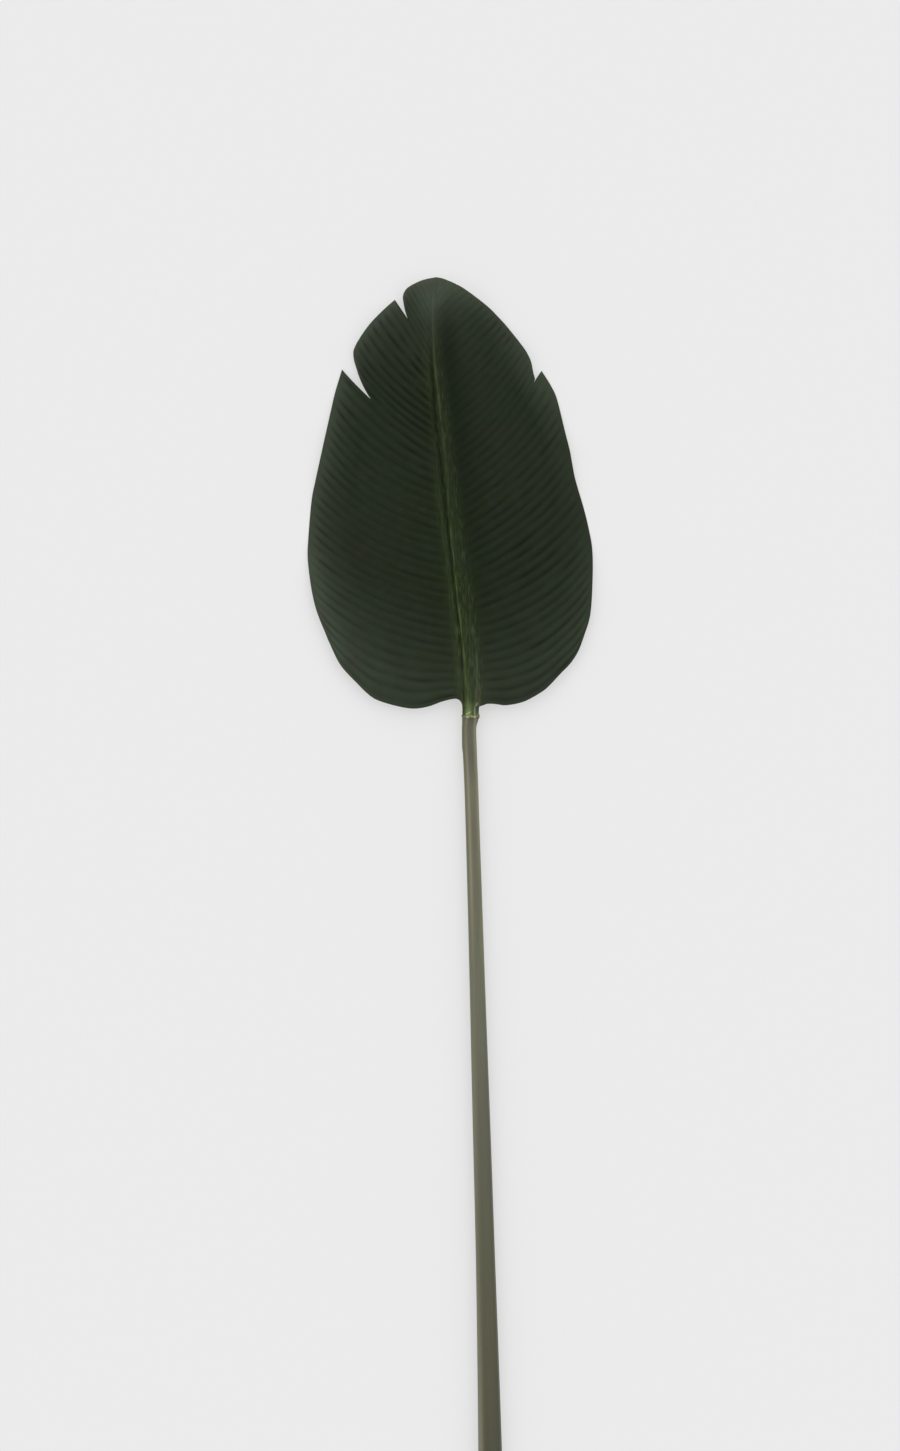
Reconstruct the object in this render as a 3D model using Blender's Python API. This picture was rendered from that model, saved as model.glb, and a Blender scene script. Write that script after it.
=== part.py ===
"""A banana leaf cut with its stalk, lying face up.

Two pieces: the leaf, one body with its rib and a short collar at its foot, and the stalk,
whose thin end sits in that collar. Places are first measured from the joint, the middle of
the collar's mouth, with x to the right and y towards the tip as one looks down on the leaf.
At the end everything is moved so that the origin lies on the floor under the middle of the
footprint. Metres, +Z up.
"""

import math

import bpy
from mathutils import Vector

MM = 0.001

# The leaf's rib and outline, in millimetres from the joint.
RIB_LINE = [
    (1.15, -2.0), (1.15, 7.0), (1.5, 14.0), (1.3, 26.0), (-2.8, 77.0), (-8.3, 124.0),
    (-13.1, 166.0), (-18.5, 212.0), (-23.2, 254.0), (-27.8, 296.0), (-30.1, 326.0),
    (-30.3, 351.0), (-28.0, 370.7),
]
FOOT_Y = 9.3  # where the lamina begins, above the collar
TIP = (-28.0, 370.7)

# Each side of the lamina: the edge at its foot, then its lobes up to the tip. Where two
# lobes part, the lamina is torn along a vein: the first lobe's last point and the next
# lobe's first point are the two lips of that tear at the margin.
LEFT_FOOT = [
    (-6.0, 9.3), (-6.9, 12.3), (-8.5, 14.2), (-10.6, 15.1), (-13.5, 15.2), (-22.7, 13.0),
    (-35.0, 8.6), (-48.0, 7.0), (-62.9, 9.6), (-78.3, 14.5), (-86.2, 20.0), (-93.5, 27.2),
    (-108.7, 43.8), (-119.1, 64.8),
]
LEFT_LOBES = [
    [(-119.1, 64.8), (-130.5, 95.1), (-136.3, 130.4), (-136.0, 153.2), (-133.4, 182.8),
     (-130.2, 199.0), (-126.3, 216.6), (-117.6, 256.1), (-113.5, 274.2), (-107.6, 294.0)],
    [(-94.2, 290.5), (-97.8, 304.0), (-96.2, 313.5), (-85.2, 330.1), (-72.5, 343.6),
     (-62.8, 352.4)],
    [(-55.3, 347.7), (-56.0, 355.4), (-52.3, 361.8), (-42.6, 366.9), (-35.7, 369.1), TIP],
]
RIGHT_FOOT = [
    (8.6, 9.3), (12.0, 9.9), (16.0, 11.1), (23.2, 10.7), (31.2, 9.8), (46.3, 13.0), (61.7, 21.5),
    (69.2, 28.1), (76.7, 36.2), (85.6, 45.4), (92.0, 55.4), (96.7, 67.5),
]
RIGHT_LOBES = [
    [(96.7, 67.5), (102.3, 87.0), (104.3, 119.6), (104.0, 142.4), (101.3, 158.6), (97.3, 175.2),
     (89.9, 200.1), (87.2, 213.2), (84.9, 225.7), (81.3, 240.0), (74.5, 268.0), (69.1, 280.3),
     (61.2, 292.7)],
    [(54.8, 286.3), (52.7, 298.3), (50.0, 305.1), (45.5, 312.4), (32.5, 329.2), (24.3, 338.2),
     (15.3, 346.7), (-3.3, 360.2), (-11.1, 364.7), (-17.8, 367.8), (-23.2, 369.8), TIP],
]

# The veins. Every row of the lamina is a vein, raised and sunk in turn, so that the leaf
# is pleated from its rib to its margin.
ROWS = 96
LEFT_TEARS = [56, 77]  # the rows along which the left side is torn
RIGHT_TEARS = [52]
TEAR_START = 0.70  # share of the way from the rib to the margin where each tear begins
TEAR_OPENING = {"left": 1.1, "right": 7.0}  # 1 opens evenly, 7 stays shut until the margin
VEIN_SHARES = [0.0, 0.06, 0.16, 0.28, 0.41, 0.55, TEAR_START, 0.80, 0.89, 0.95, 1.0]
VEIN_ANGLES = {  # share of the leaf's length, degrees above square to the leaf at the rib
    "left": [(0.0, 4.0), (0.25, 9.0), (0.48, 15.0), (0.58, 29.0), (0.68, 33.0), (0.8, 56.0),
             (1.0, 66.0)],
    "right": [(0.0, 4.0), (0.15, 13.0), (0.3, 24.0), (0.47, 33.0), (0.7, 40.0), (0.85, 50.0),
              (1.0, 62.0)],
}
VEIN_BEND = 0.56  # how far along a vein its curve towards the tip is centred
FOOT_FADE_ROWS = 16  # rows over which the foot's own outline passes into plain veins
TEAR_FADE_ROWS = 9
PLEAT_HEIGHT = 0.55 * MM  # above and below the lamina's middle
PLEAT_FADE = 0.1  # share of a vein over which pleats rise at the rib and die at the margin
PLEAT_TIP_ROWS = 14

# The lamina's form in height.
THICKNESS = 1.0 * MM
RIB_HEIGHTS = [(0.0, 15.5), (0.25, 18.5), (0.5, 21.5), (0.75, 20.5), (1.0, 12.0)]  # share, mm
FOLD = 6.0 * MM  # how far each half arches above a straight line from rib to margin
DROOP_POWER = 1.8
MARGIN_WAVE = 5.0 * MM
LOW_ROW = {"left": 24, "right": 22}  # where each margin touches the floor
WAVE_ROWS = {"left": 30.0, "right": 25.0}
TIP_LIFT = 9.0 * MM
FOOT_LIFT = 7.0 * MM
FOOT_DROOP = 8.0 * MM
TIP_BLEND = 0.8  # share of the leaf's length past which the margin rises to the rib's tip
LIP_STEP = 1.2 * MM  # one lip of a tear lies this much lower and the other higher
LONG_VEIN = 120.0 * MM

# The rib, as the lamina's middle strips.
RIB_STRIPS = 8
RIB_WIDTHS = [(0.0, 14.6), (0.05, 13.4), (0.2, 10.3), (0.45, 8.0), (0.7, 5.8), (0.88, 3.0),
              (1.0, 1.8)]  # share, mm
RIB_TOP = [0.0, 0.08, 0.10, -0.04, -0.08, -0.08, -0.05, 0.02, 0.0]  # share of width: a raised
# line on the left and a shallow channel beside it
RIB_TOP_ROWS = 6.0  # rows over which that form rises out of the smooth foot
KEEL_DEPTHS = [(0.0, 0.92), (0.06, 0.78), (0.2, 0.65), (1.0, 0.60)]  # share, share of width

# The collar at the leaf's foot.
COLLAR_RADIUS = 7.0 * MM
COLLAR_LIP_RADIUS = 7.5 * MM
COLLAR_LIP_LENGTH = 2.0 * MM
COLLAR_ROUND_LENGTH = 6.6 * MM
EDGE = 0.3 * MM  # small bevel at the collar's lip
BORE_DEPTH = 6.0 * MM
JOINT_HEIGHT = 8.5 * MM
GAP = 0.3 * MM

# The stalk, in millimetres from the joint.
STALK_LINE = [
    (1.15, 12.0), (1.15, 8.0), (1.15, 4.0), (1.1, 0.0), (0.55, -4.0), (-0.05, -8.0),
    (-0.18, -12.0), (-0.12, -17.0), (0.1, -24.0), (0.7, -35.0), (1.78, -60.0), (2.9, -95.0),
    (4.2, -137.0), (5.75, -188.0), (7.2, -238.0), (10.2, -339.0), (13.2, -440.0),
    (15.85, -541.0), (17.85, -629.4),
]
STALK_RADII = [  # distance below the joint, radius: thin in the collar, flared just below it
    (-5.7, 5.9), (0.3, 5.9), (0.9, 7.05), (2.5, 6.9), (4.2, 6.67), (6.0, 6.4), (8.0, 6.15),
    (11.0, 6.05), (17.0, 6.1), (24.0, 6.2), (31.0, 6.1), (36.0, 5.93), (61.5, 5.88),
    (95.0, 5.9), (137.0, 6.07), (188.0, 6.33), (238.0, 6.62), (289.0, 7.05), (339.0, 7.42),
    (390.0, 7.72), (440.0, 8.0), (491.0, 8.48), (541.0, 9.07), (592.0, 9.68), (612.0, 9.93),
    (629.4, 10.1),
]
STALK_END_HEIGHT = 9.0 * MM  # of the axis at the cut end: less than the radius, so that the
# underside is pressed flat there and the leaf rests on it
STALK_SIDES = 24
FLUTE = 0.06  # every second edge of the stalk is sunk by this share of the radius
CHANNEL = 0.16  # depth of the groove along the stalk's upper side, as a share of the radius
CHANNEL_HALF_ANGLE = 38.0
CUT_BEVEL = 0.7 * MM

LEAF_COLOUR = (0.020, 0.028, 0.017, 1.0)
STALK_COLOUR = (0.150, 0.145, 0.105, 1.0)
SHARP_ANGLE = math.radians(24)


def metres(points):
    return [Vector((x * MM, y * MM)) for x, y in points]


def smooth_through(points, steps=14):
    """A smooth line through the points (Catmull-Rom), as closely spaced points."""
    ends = [points[0] * 2 - points[1], *points, points[-1] * 2 - points[-2]]
    line = []
    for a, b, c, d in zip(ends, ends[1:], ends[2:], ends[3:]):
        for step in range(steps):
            t = step / steps
            line.append(
                0.5 * (2 * b + (c - a) * t + (2 * a - 5 * b + 4 * c - d) * t**2
                       + (3 * b - a - 3 * c + d) * t**3)
            )
    return [*line, points[-1]]


def smooth_table(table):
    """The same smoothing for a table of (share, value)."""
    return [tuple(point) for point in smooth_through([Vector(pair) for pair in table])]


def between(table, share):
    """Straight interpolation in a table of (share, value)."""
    for (s0, v0), (s1, v1) in zip(table, table[1:]):
        if share <= s1:
            return v0 + (v1 - v0) * (share - s0) / (s1 - s0)
    return table[-1][1]


def point_at(line, distance):
    """The point at this distance along a line, and the line's direction there."""
    for a, b in zip(line, line[1:]):
        length = (b - a).length
        if distance <= length:
            return a.lerp(b, distance / length), (b - a).normalized()
        distance -= length
    return line[-1], (line[-1] - line[-2]).normalized()


def length_of(line):
    return sum((b - a).length for a, b in zip(line, line[1:]))


def spaced(line, count):
    """count + 1 points evenly spaced along a line."""
    total = length_of(line)
    return [point_at(line, total * n / count)[0] for n in range(count)] + [line[-1]]


def eased(value):
    """0 to 1, smoothly, as value goes from 0 to 1."""
    value = min(1.0, max(0.0, value))
    return value * value * (3 - 2 * value)


class Rib:
    """The rib's line, width, height and section, by row of the lamina."""

    def __init__(self):
        self.line = smooth_through(metres(RIB_LINE))
        self.joint_distance = -RIB_LINE[0][1] * MM
        self.foot_distance = self.joint_distance + FOOT_Y * MM
        self.length = length_of(self.line)
        self.heights = smooth_table(RIB_HEIGHTS)

    def place(self, row):
        lamina_length = self.length - self.foot_distance
        return point_at(self.line, self.foot_distance + lamina_length * row / ROWS)

    def width(self, row):
        return between(RIB_WIDTHS, row / ROWS) * MM

    def height(self, row):
        """Height of the lamina's middle beside the rib."""
        return between(self.heights, row / ROWS) * MM

    def side(self, row, sign):
        """The rib's left (-1) or right (1) edge."""
        middle, along = self.place(row)
        return middle + Vector((along.y, -along.x)) * sign * self.width(row) / 2

    def section(self, row):
        """Upper and lower heights across the rib: a channel above and a keel below."""
        width, height = self.width(row), self.height(row)
        form = min(1.0, row / RIB_TOP_ROWS)
        keel = between(KEEL_DEPTHS, row / ROWS) * width
        return [
            (height + THICKNESS / 2 + RIB_TOP[column] * form * width,
             height - THICKNESS / 2 - keel * math.sin(math.pi * column / RIB_STRIPS))
            for column in range(RIB_STRIPS + 1)
        ]


def plain_vein(rib, side, row, end):
    """A vein from the rib's edge to a point on the margin, curving up towards the tip."""
    sign = -1 if side == "left" else 1
    start = rib.side(row, sign)
    angle = math.radians(between(VEIN_ANGLES[side], row / ROWS))
    leaving = Vector((sign * math.cos(angle), math.sin(angle)))
    bend = start + leaving * (end - start).length * VEIN_BEND
    return [
        start * (1 - u) ** 2 + bend * 2 * u * (1 - u) + end * u**2 for u in VEIN_SHARES
    ]


def past_tear_start(u):
    return max(0.0, (u - TEAR_START) / (1 - TEAR_START))


def lip_vein(rib, side, row, lip_end, other_end):
    """One lip of a tear: the vein that both lips share, parted from TEAR_START on."""
    shared = plain_vein(rib, side, row, (lip_end + other_end) / 2)
    apart = (lip_end - other_end) / 2
    return [
        point + apart * past_tear_start(u) ** TEAR_OPENING[side]
        for point, u in zip(shared, VEIN_SHARES)
    ]


def pull_towards(veins, row, edge, fade_rows):
    """Makes one vein follow an edge exactly, and its neighbours less and less."""
    change = [there - here for here, there in zip(veins[row], edge)]
    for other, points in veins.items():
        share = 1 - min(1.0, abs(other - row) / fade_rows)
        veins[other] = [p + c * share * share for p, c in zip(points, change)]


def tears_of(side):
    return LEFT_TEARS if side == "left" else RIGHT_TEARS


def lobe_rows(side):
    """(first row, last row) of each lobe on one side."""
    return list(zip([0, *tears_of(side)], [*tears_of(side), ROWS]))


def foot_edge(rib, side):
    foot = LEFT_FOOT if side == "left" else RIGHT_FOOT
    line = smooth_through([rib.side(0, -1 if side == "left" else 1), *metres(foot)[1:]])
    total = length_of(line)
    return [point_at(line, total * u)[0] for u in VEIN_SHARES]


def veins_of_side(rib, side):
    """For each lobe of one side: {row: points of that vein from the rib to the margin}."""
    margins = [metres(lobe) for lobe in (LEFT_LOBES if side == "left" else RIGHT_LOBES)]
    lobes = []
    for number, (first, last) in enumerate(lobe_rows(side)):
        margin = margins[number]
        ends = spaced(smooth_through(margin), last - first)
        veins = {row: plain_vein(rib, side, row, end) for row, end in enumerate(ends, first)}
        if number == 0:
            pull_towards(veins, 0, foot_edge(rib, side), FOOT_FADE_ROWS)
        else:
            lip = lip_vein(rib, side, first, margin[0], margins[number - 1][-1])
            pull_towards(veins, first, lip, TEAR_FADE_ROWS)
        if last < ROWS:
            lip = lip_vein(rib, side, last, margin[-1], margins[number + 1][0])
            pull_towards(veins, last, lip, TEAR_FADE_ROWS)
        lobes.append(veins)
    return lobes


def margin_height(side, row):
    """Height of the lamina's middle at the margin. It touches the floor at LOW_ROW."""
    past = row - LOW_ROW[side]
    wave = MARGIN_WAVE * (1 - math.cos(2 * math.pi * past / WAVE_ROWS[side])) / 2
    reach = ROWS - LOW_ROW[side] if past > 0 else LOW_ROW[side]
    lift = (TIP_LIFT if past > 0 else FOOT_LIFT) * (past / reach) ** 2
    return THICKNESS / 2 + wave + lift


def lamina_height(rib, side, row, u, vein_length, lip):
    """Height of the lamina's middle at share u of a vein. lip is 1 on a tear's upper lip,
    -1 on its lower lip and less beside them."""
    inner = rib.height(row)
    outer = margin_height(side, row)
    outer += (inner - outer) * eased((row / ROWS - TIP_BLEND) / (1 - TIP_BLEND))
    arch = 4 * u * (1 - u)
    height = inner + (outer - inner) * u**DROOP_POWER
    height += FOLD * arch * min(1.0, vein_length / LONG_VEIN)
    height -= FOOT_DROOP * arch * (1 - min(1.0, row / FOOT_FADE_ROWS)) ** 2
    pleat = PLEAT_HEIGHT if row % 2 == 0 else -PLEAT_HEIGHT
    pleat *= eased(u / PLEAT_FADE) * eased((1 - u) / PLEAT_FADE)
    pleat *= min(1.0, (ROWS - row) / PLEAT_TIP_ROWS)
    return height + pleat + LIP_STEP * lip * past_tear_start(u)


def lip_share(row, first, last):
    """1 on the lip at a lobe's first row, -1 on the lip at its last row, fading between."""
    upper = 1 - min(1.0, (row - first) / TEAR_FADE_ROWS) if first > 0 else 0.0
    lower = 1 - min(1.0, (last - row) / TEAR_FADE_ROWS) if last < ROWS else 0.0
    return upper**2 - lower**2


class Sandwich:
    """A closed solid between an upper and a lower sheet that share their layout in plan.

    Both sheets are split into the same triangles, so that they never cross.
    """

    def __init__(self):
        self.upper = []
        self.lower = []
        self.index = {}
        self.faces = []

    def point(self, key, plan, upper, lower):
        """Adds a point once, under its key, and returns its number."""
        if key not in self.index:
            self.index[key] = len(self.upper)
            self.upper.append(Vector((plan.x, plan.y, upper)))
            self.lower.append(Vector((plan.x, plan.y, lower)))
        return self.index[key]

    def cell(self, a, b, c, d):
        """A cell of four points, counterclockwise from above; it may shrink to three."""
        for triangle in ((a, b, c), (a, c, d)):
            if len(set(triangle)) == 3:
                self.faces.append(triangle)

    def solid(self, open_edges):
        """Points and faces of both sheets and of the rim between them, except at
        open_edges. A point of the lower sheet follows the upper ones by their count."""
        count = len(self.upper)
        faces = self.faces + [(c + count, b + count, a + count) for a, b, c in self.faces]
        edges = {(a, b) for face in self.faces for a, b in zip(face, face[1:] + face[:1])}
        for a, b in sorted(edges):
            if (b, a) not in edges and (a, b) not in open_edges:
                faces += [(b, a, a + count), (b, a + count, b + count)]
        return self.upper + self.lower, faces


def add_lamina(sheet, rib, side):
    """Lays one half of the lamina, lobe by lobe, from the rib's edge to the margin."""
    tear_column = VEIN_SHARES.index(TEAR_START)
    rib_column = 0 if side == "left" else RIB_STRIPS
    for number, veins in enumerate(veins_of_side(rib, side)):
        first, last = lobe_rows(side)[number]
        grid = {}
        for row, points in veins.items():
            lip = lip_share(row, first, last)
            for column, (plan, u) in enumerate(zip(points, VEIN_SHARES)):
                shared = row in tears_of(side) and column <= tear_column
                key = (side, "shared" if shared else number, row, column)
                if column == 0:
                    key = ("rib", row, rib_column)
                if row == ROWS:
                    key = "tip"
                middle = lamina_height(rib, side, row, u, length_of(points), lip)
                grid[row, column] = sheet.point(
                    key, plan, middle + THICKNESS / 2, middle - THICKNESS / 2
                )
        for row in range(first, last):
            for column in range(len(VEIN_SHARES) - 1):
                near, far = (column + 1, column) if side == "left" else (column, column + 1)
                sheet.cell(grid[row, near], grid[row, far], grid[row + 1, far], grid[row + 1, near])


def collar_loops():
    """(distance below the foot, radius, how round) of each loop from the foot to the mouth."""
    foot = FOOT_Y * MM
    lip = foot - COLLAR_LIP_LENGTH
    return [
        (EDGE, COLLAR_RADIUS, 0.1),
        (foot - COLLAR_ROUND_LENGTH - 2 * EDGE, COLLAR_RADIUS, 0.85),
        (foot - COLLAR_ROUND_LENGTH, COLLAR_RADIUS, 1.0),
        (lip - EDGE, COLLAR_RADIUS, 1.0),
        (lip, COLLAR_LIP_RADIUS, 1.0),
        (foot - EDGE, COLLAR_LIP_RADIUS, 1.0),
        (foot, COLLAR_LIP_RADIUS - EDGE, 1.0),
    ]


def add_rib(sheet, rib):
    """Lays the rib's strips and the collar that they run into. Returns the points of the
    collar's mouth."""
    columns = range(RIB_STRIPS + 1)
    turns = [math.pi * column / RIB_STRIPS for column in columns]
    for row in range(ROWS + 1):
        middle, along = rib.place(row)
        across = Vector((along.y, -along.x)) * rib.width(row) / 2
        for column, (upper, lower) in enumerate(rib.section(row)):
            key = "tip" if row == ROWS else ("rib", row, column)
            sheet.point(key, middle - across * math.cos(turns[column]), upper, lower)
    loops = collar_loops()
    half_width, section, edge = rib.width(0) / 2, rib.section(0), THICKNESS / 2
    for number, (below, radius, roundness) in enumerate(loops):
        middle, along = point_at(rib.line, rib.foot_distance - below)
        across = Vector((along.y, -along.x)) * (half_width + (radius - half_width) * roundness)
        for column, (upper, lower) in enumerate(section):
            rise = edge + (radius - edge) * math.sin(turns[column])
            sheet.point(
                ("rib", -1 - number, column),
                middle - across * math.cos(turns[column]),
                upper + (JOINT_HEIGHT + rise - upper) * roundness,
                lower + (JOINT_HEIGHT - rise - lower) * roundness,
            )
    for row in range(-len(loops), ROWS):
        for column in range(RIB_STRIPS):
            ahead = [("rib", row + 1, column + 1), ("rib", row + 1, column)]
            if row + 1 == ROWS:
                ahead = ["tip", "tip"]
            corners = [("rib", row, column), ("rib", row, column + 1), *ahead]
            sheet.cell(*[sheet.index[corner] for corner in corners])
    return [sheet.index["rib", -len(loops), column] for column in columns]


def add_bore(rib, points, faces, rim):
    """Closes the collar's mouth with a blind bore. rim runs over the top of the mouth from
    left to right and back underneath."""
    plan, along = point_at(rib.line, rib.joint_distance)
    inward = Vector((along.x, along.y, 0.0))
    centre = Vector((plan.x, plan.y, JOINT_HEIGHT))
    # The bore's flat sides, not its corners, clear the stalk by the gap.
    radius = (STALK_RADII[0][1] * MM + GAP) / math.cos(math.pi / (2 * RIB_STRIPS))
    loops = [rim]
    for depth in (0.0, BORE_DEPTH):
        loop = []
        for number in rim:
            spoke = points[number] - centre
            spoke -= inward * spoke.dot(inward)
            loop.append(len(points))
            points.append(centre + inward * depth + spoke.normalized() * radius)
        loops.append(loop)
    for outer, inner in zip(loops, loops[1:]):
        for n, after in zip(range(len(rim)), [*range(1, len(rim)), 0]):
            faces += [(outer[after], outer[n], inner[n]), (outer[after], inner[n], inner[after])]
    add_cap(points, faces, loops[-1], centre + inward * BORE_DEPTH)


def add_cap(points, faces, ring, middle):
    """Closes a ring of points with a fan round one point in its middle."""
    points.append(middle)
    faces += [(ring[n], ring[n - 1], len(points) - 1) for n in range(len(ring))]


def build_leaf():
    rib = Rib()
    sheet = Sandwich()
    mouth = add_rib(sheet, rib)
    for side in ("left", "right"):
        add_lamina(sheet, rib, side)
    points, faces = sheet.solid(open_edges=set(zip(mouth, mouth[1:])))
    rim = mouth + [number + len(sheet.upper) for number in reversed(mouth)]
    add_bore(rib, points, faces, rim)
    return points, faces


def stalk_outline(radius):
    """Points round the stalk: fluted, with a groove along the top between two shoulders."""
    points = []
    for side in range(STALK_SIDES):
        turn = 2 * math.pi * side / STALK_SIDES
        off_top = abs(math.degrees(math.atan2(math.cos(turn), math.sin(turn))))
        groove = CHANNEL * (1 - eased(off_top / CHANNEL_HALF_ANGLE))
        flute = FLUTE if side % 2 else 0.0
        reach = radius * (1 - max(groove, flute))
        points.append((reach * math.cos(turn), reach * math.sin(turn)))
    return points


def stalk_rows():
    """(distance below the joint, radius) of each loop, with a small bevel at both ends."""
    rows = [(below * MM, radius * MM) for below, radius in STALK_RADII]
    (top, first), (end, last) = rows[0], rows[-1]
    return [(top, first - CUT_BEVEL), (top + CUT_BEVEL, first), *rows[1:-1],
            (end - CUT_BEVEL, last), (end, last - CUT_BEVEL)]


def place_below(line, below):
    """The point of the stalk's line this far below the joint."""
    for a, b in zip(line, line[1:]):
        if -b.y >= below:
            return a.lerp(b, (a.y + below) / (a.y - b.y))
    return line[-1]


def build_stalk():
    line = smooth_through(metres(STALK_LINE))
    rows = stalk_rows()
    points, faces, axis = [], [], []
    for below, radius in rows:
        middle = place_below(line, below)
        height = JOINT_HEIGHT
        height += (STALK_END_HEIGHT - JOINT_HEIGHT) * max(0.0, below) / rows[-1][0]
        axis.append(Vector((middle.x, middle.y, height)))
        for x, z in stalk_outline(radius):
            points.append(Vector((middle.x + x, middle.y, max(0.0, height + z))))
    for loop in range(len(rows) - 1):
        for side in range(STALK_SIDES):
            after = (side + 1) % STALK_SIDES
            a, b = loop * STALK_SIDES + side, loop * STALK_SIDES + after
            faces += [(a, b, b + STALK_SIDES), (a, b + STALK_SIDES, a + STALK_SIDES)]
    rings = [range(STALK_SIDES), range(len(points) - STALK_SIDES, len(points))[::-1]]
    add_cap(points, faces, rings[0], axis[0])
    add_cap(points, faces, rings[1], axis[-1])
    return points, faces


def material(name, colour, roughness):
    made = bpy.data.materials.new(name)
    made.use_nodes = True
    shader = made.node_tree.nodes["Principled BSDF"]
    shader.inputs["Base Color"].default_value = colour
    shader.inputs["Roughness"].default_value = roughness
    shader.inputs["Metallic"].default_value = 0.0
    made.diffuse_color = colour
    return made


def add_object(name, points, faces, finish):
    mesh = bpy.data.meshes.new(name)
    mesh.from_pydata(points, [], faces)
    mesh.update()
    mesh.shade_smooth()
    mesh.set_sharp_from_angle(angle=SHARP_ANGLE)
    mesh.materials.append(finish)
    made = bpy.data.objects.new(name, mesh)
    bpy.context.collection.objects.link(made)


def main():
    for old in list(bpy.data.objects):
        bpy.data.objects.remove(old)
    leaf_points, leaf_faces = build_leaf()
    stalk_points, stalk_faces = build_stalk()
    middle = Vector((0.0, 0.0, 0.0))
    for axis in (0, 1):
        reach = [point[axis] for point in leaf_points + stalk_points]
        middle[axis] = (min(reach) + max(reach)) / 2
    leaf_points = [point - middle for point in leaf_points]
    stalk_points = [point - middle for point in stalk_points]
    add_object("leaf_blade", leaf_points, leaf_faces, material("leaf green", LEAF_COLOUR, 0.55))
    add_object("leaf_stalk", stalk_points, stalk_faces, material("stalk grey", STALK_COLOUR, 0.6))


main()
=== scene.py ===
# Banana leaf lying face up: a pleated, torn blade whose rib ends in a collar, and a fluted stalk
# whose thin end sits in that collar. Sizes in the dictionaries are in millimetres, and places are
# measured from the joint: x to the right and y towards the tip, with the collar's mouth at y 0.
import bisect
import functools
import math

import bpy
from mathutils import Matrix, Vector, noise


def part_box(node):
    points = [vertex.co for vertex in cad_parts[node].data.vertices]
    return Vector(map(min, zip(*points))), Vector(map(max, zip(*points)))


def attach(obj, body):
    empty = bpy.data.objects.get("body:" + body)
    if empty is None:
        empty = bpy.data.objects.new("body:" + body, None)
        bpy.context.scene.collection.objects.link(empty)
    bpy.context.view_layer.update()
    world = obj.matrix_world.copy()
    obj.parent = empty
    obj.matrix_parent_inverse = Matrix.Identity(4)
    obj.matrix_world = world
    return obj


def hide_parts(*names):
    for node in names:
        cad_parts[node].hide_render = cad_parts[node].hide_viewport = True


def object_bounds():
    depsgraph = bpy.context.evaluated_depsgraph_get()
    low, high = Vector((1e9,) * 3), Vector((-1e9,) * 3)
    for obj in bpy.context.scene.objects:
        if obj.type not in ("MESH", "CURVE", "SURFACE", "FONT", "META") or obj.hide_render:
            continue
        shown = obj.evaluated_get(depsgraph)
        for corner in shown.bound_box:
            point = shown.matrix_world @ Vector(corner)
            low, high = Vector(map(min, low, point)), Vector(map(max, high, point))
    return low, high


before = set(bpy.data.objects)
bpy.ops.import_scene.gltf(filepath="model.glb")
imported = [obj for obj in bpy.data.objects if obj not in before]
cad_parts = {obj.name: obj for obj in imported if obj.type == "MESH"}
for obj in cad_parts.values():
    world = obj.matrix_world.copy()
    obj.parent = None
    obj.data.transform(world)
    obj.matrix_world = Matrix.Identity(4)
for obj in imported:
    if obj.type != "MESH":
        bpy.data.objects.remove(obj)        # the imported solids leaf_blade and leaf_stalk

cadLow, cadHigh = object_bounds()
bladeLow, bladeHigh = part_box("leaf_blade")
mm = 0.001


# Lines and tables

def smoothLine(points, steps=30):
    # a smooth line through the points, as closely spaced points
    points = [Vector(point) for point in points]
    ends = [points[0] * 2 - points[1], *points, points[-1] * 2 - points[-2]]
    line = []
    for a, b, c, d in zip(ends, ends[1:], ends[2:], ends[3:]):
        for step in range(steps):
            t = step / steps
            line.append(0.5 * (2 * b + (c - a) * t + (2 * a - 5 * b + 4 * c - d) * t**2
                               + (3 * b - a - 3 * c + d) * t**3))
    return [*line, points[-1]]


def makeTrack(points):
    # a smooth line with the distance from its start to each of its points
    line = smoothLine(points)
    reach = [0]
    for a, b in zip(line, line[1:]):
        reach.append(reach[-1] + (b - a).length)
    return line, reach


def trackLength(track):
    return track[1][-1]


def trackAt(track, distance):
    # the point at a distance along a track, and the track's direction there
    line, reach = track
    n = min(max(bisect.bisect_right(reach, distance), 1), len(line) - 1)
    a, b = line[n - 1], line[n]
    share = (distance - reach[n - 1]) / (reach[n] - reach[n - 1])
    return a.lerp(b, share), (b - a).normalized()


def lookUp(table, place):
    # a smooth curve through a table of (place, value)
    place = min(max(place, table[0][0]), table[-1][0])
    n = next(n for n in range(1, len(table)) if place <= table[n][0])
    (p0, v0), (p1, v1) = table[n - 1], table[n]
    (before, vBefore), (after, vAfter) = table[max(n - 2, 0)], table[min(n + 1, len(table) - 1)]
    wide = p1 - p0
    slope0 = (v1 - vBefore) / (p1 - before) * wide
    slope1 = (vAfter - v0) / (after - p0) * wide
    t = (place - p0) / wide
    return ((2 * t**3 - 3 * t**2 + 1) * v0 + (t**3 - 2 * t**2 + t) * slope0
            + (3 * t**2 - 2 * t**3) * v1 + (t**3 - t**2) * slope1)


def eased(value):
    # 0 to 1, smoothly, as value goes from 0 to 1
    value = min(1, max(0, value))
    return value * value * (3 - 2 * value)


def bump(value):
    # 1 at 0, falling off on both sides
    return math.exp(-value * value)


def window(value, start, end, soft):
    # 1 between start and end, falling to 0 over the soft distance outside them
    return eased((value - start) / soft + 1) * eased((end - value) / soft + 1)


def addMark(piece, name, values):
    # a number at each of the piece's corners, most of them for its material to read
    attribute = piece.data.attributes.new(name, "FLOAT", "POINT")
    attribute.data.foreach_set("value", values)


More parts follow.
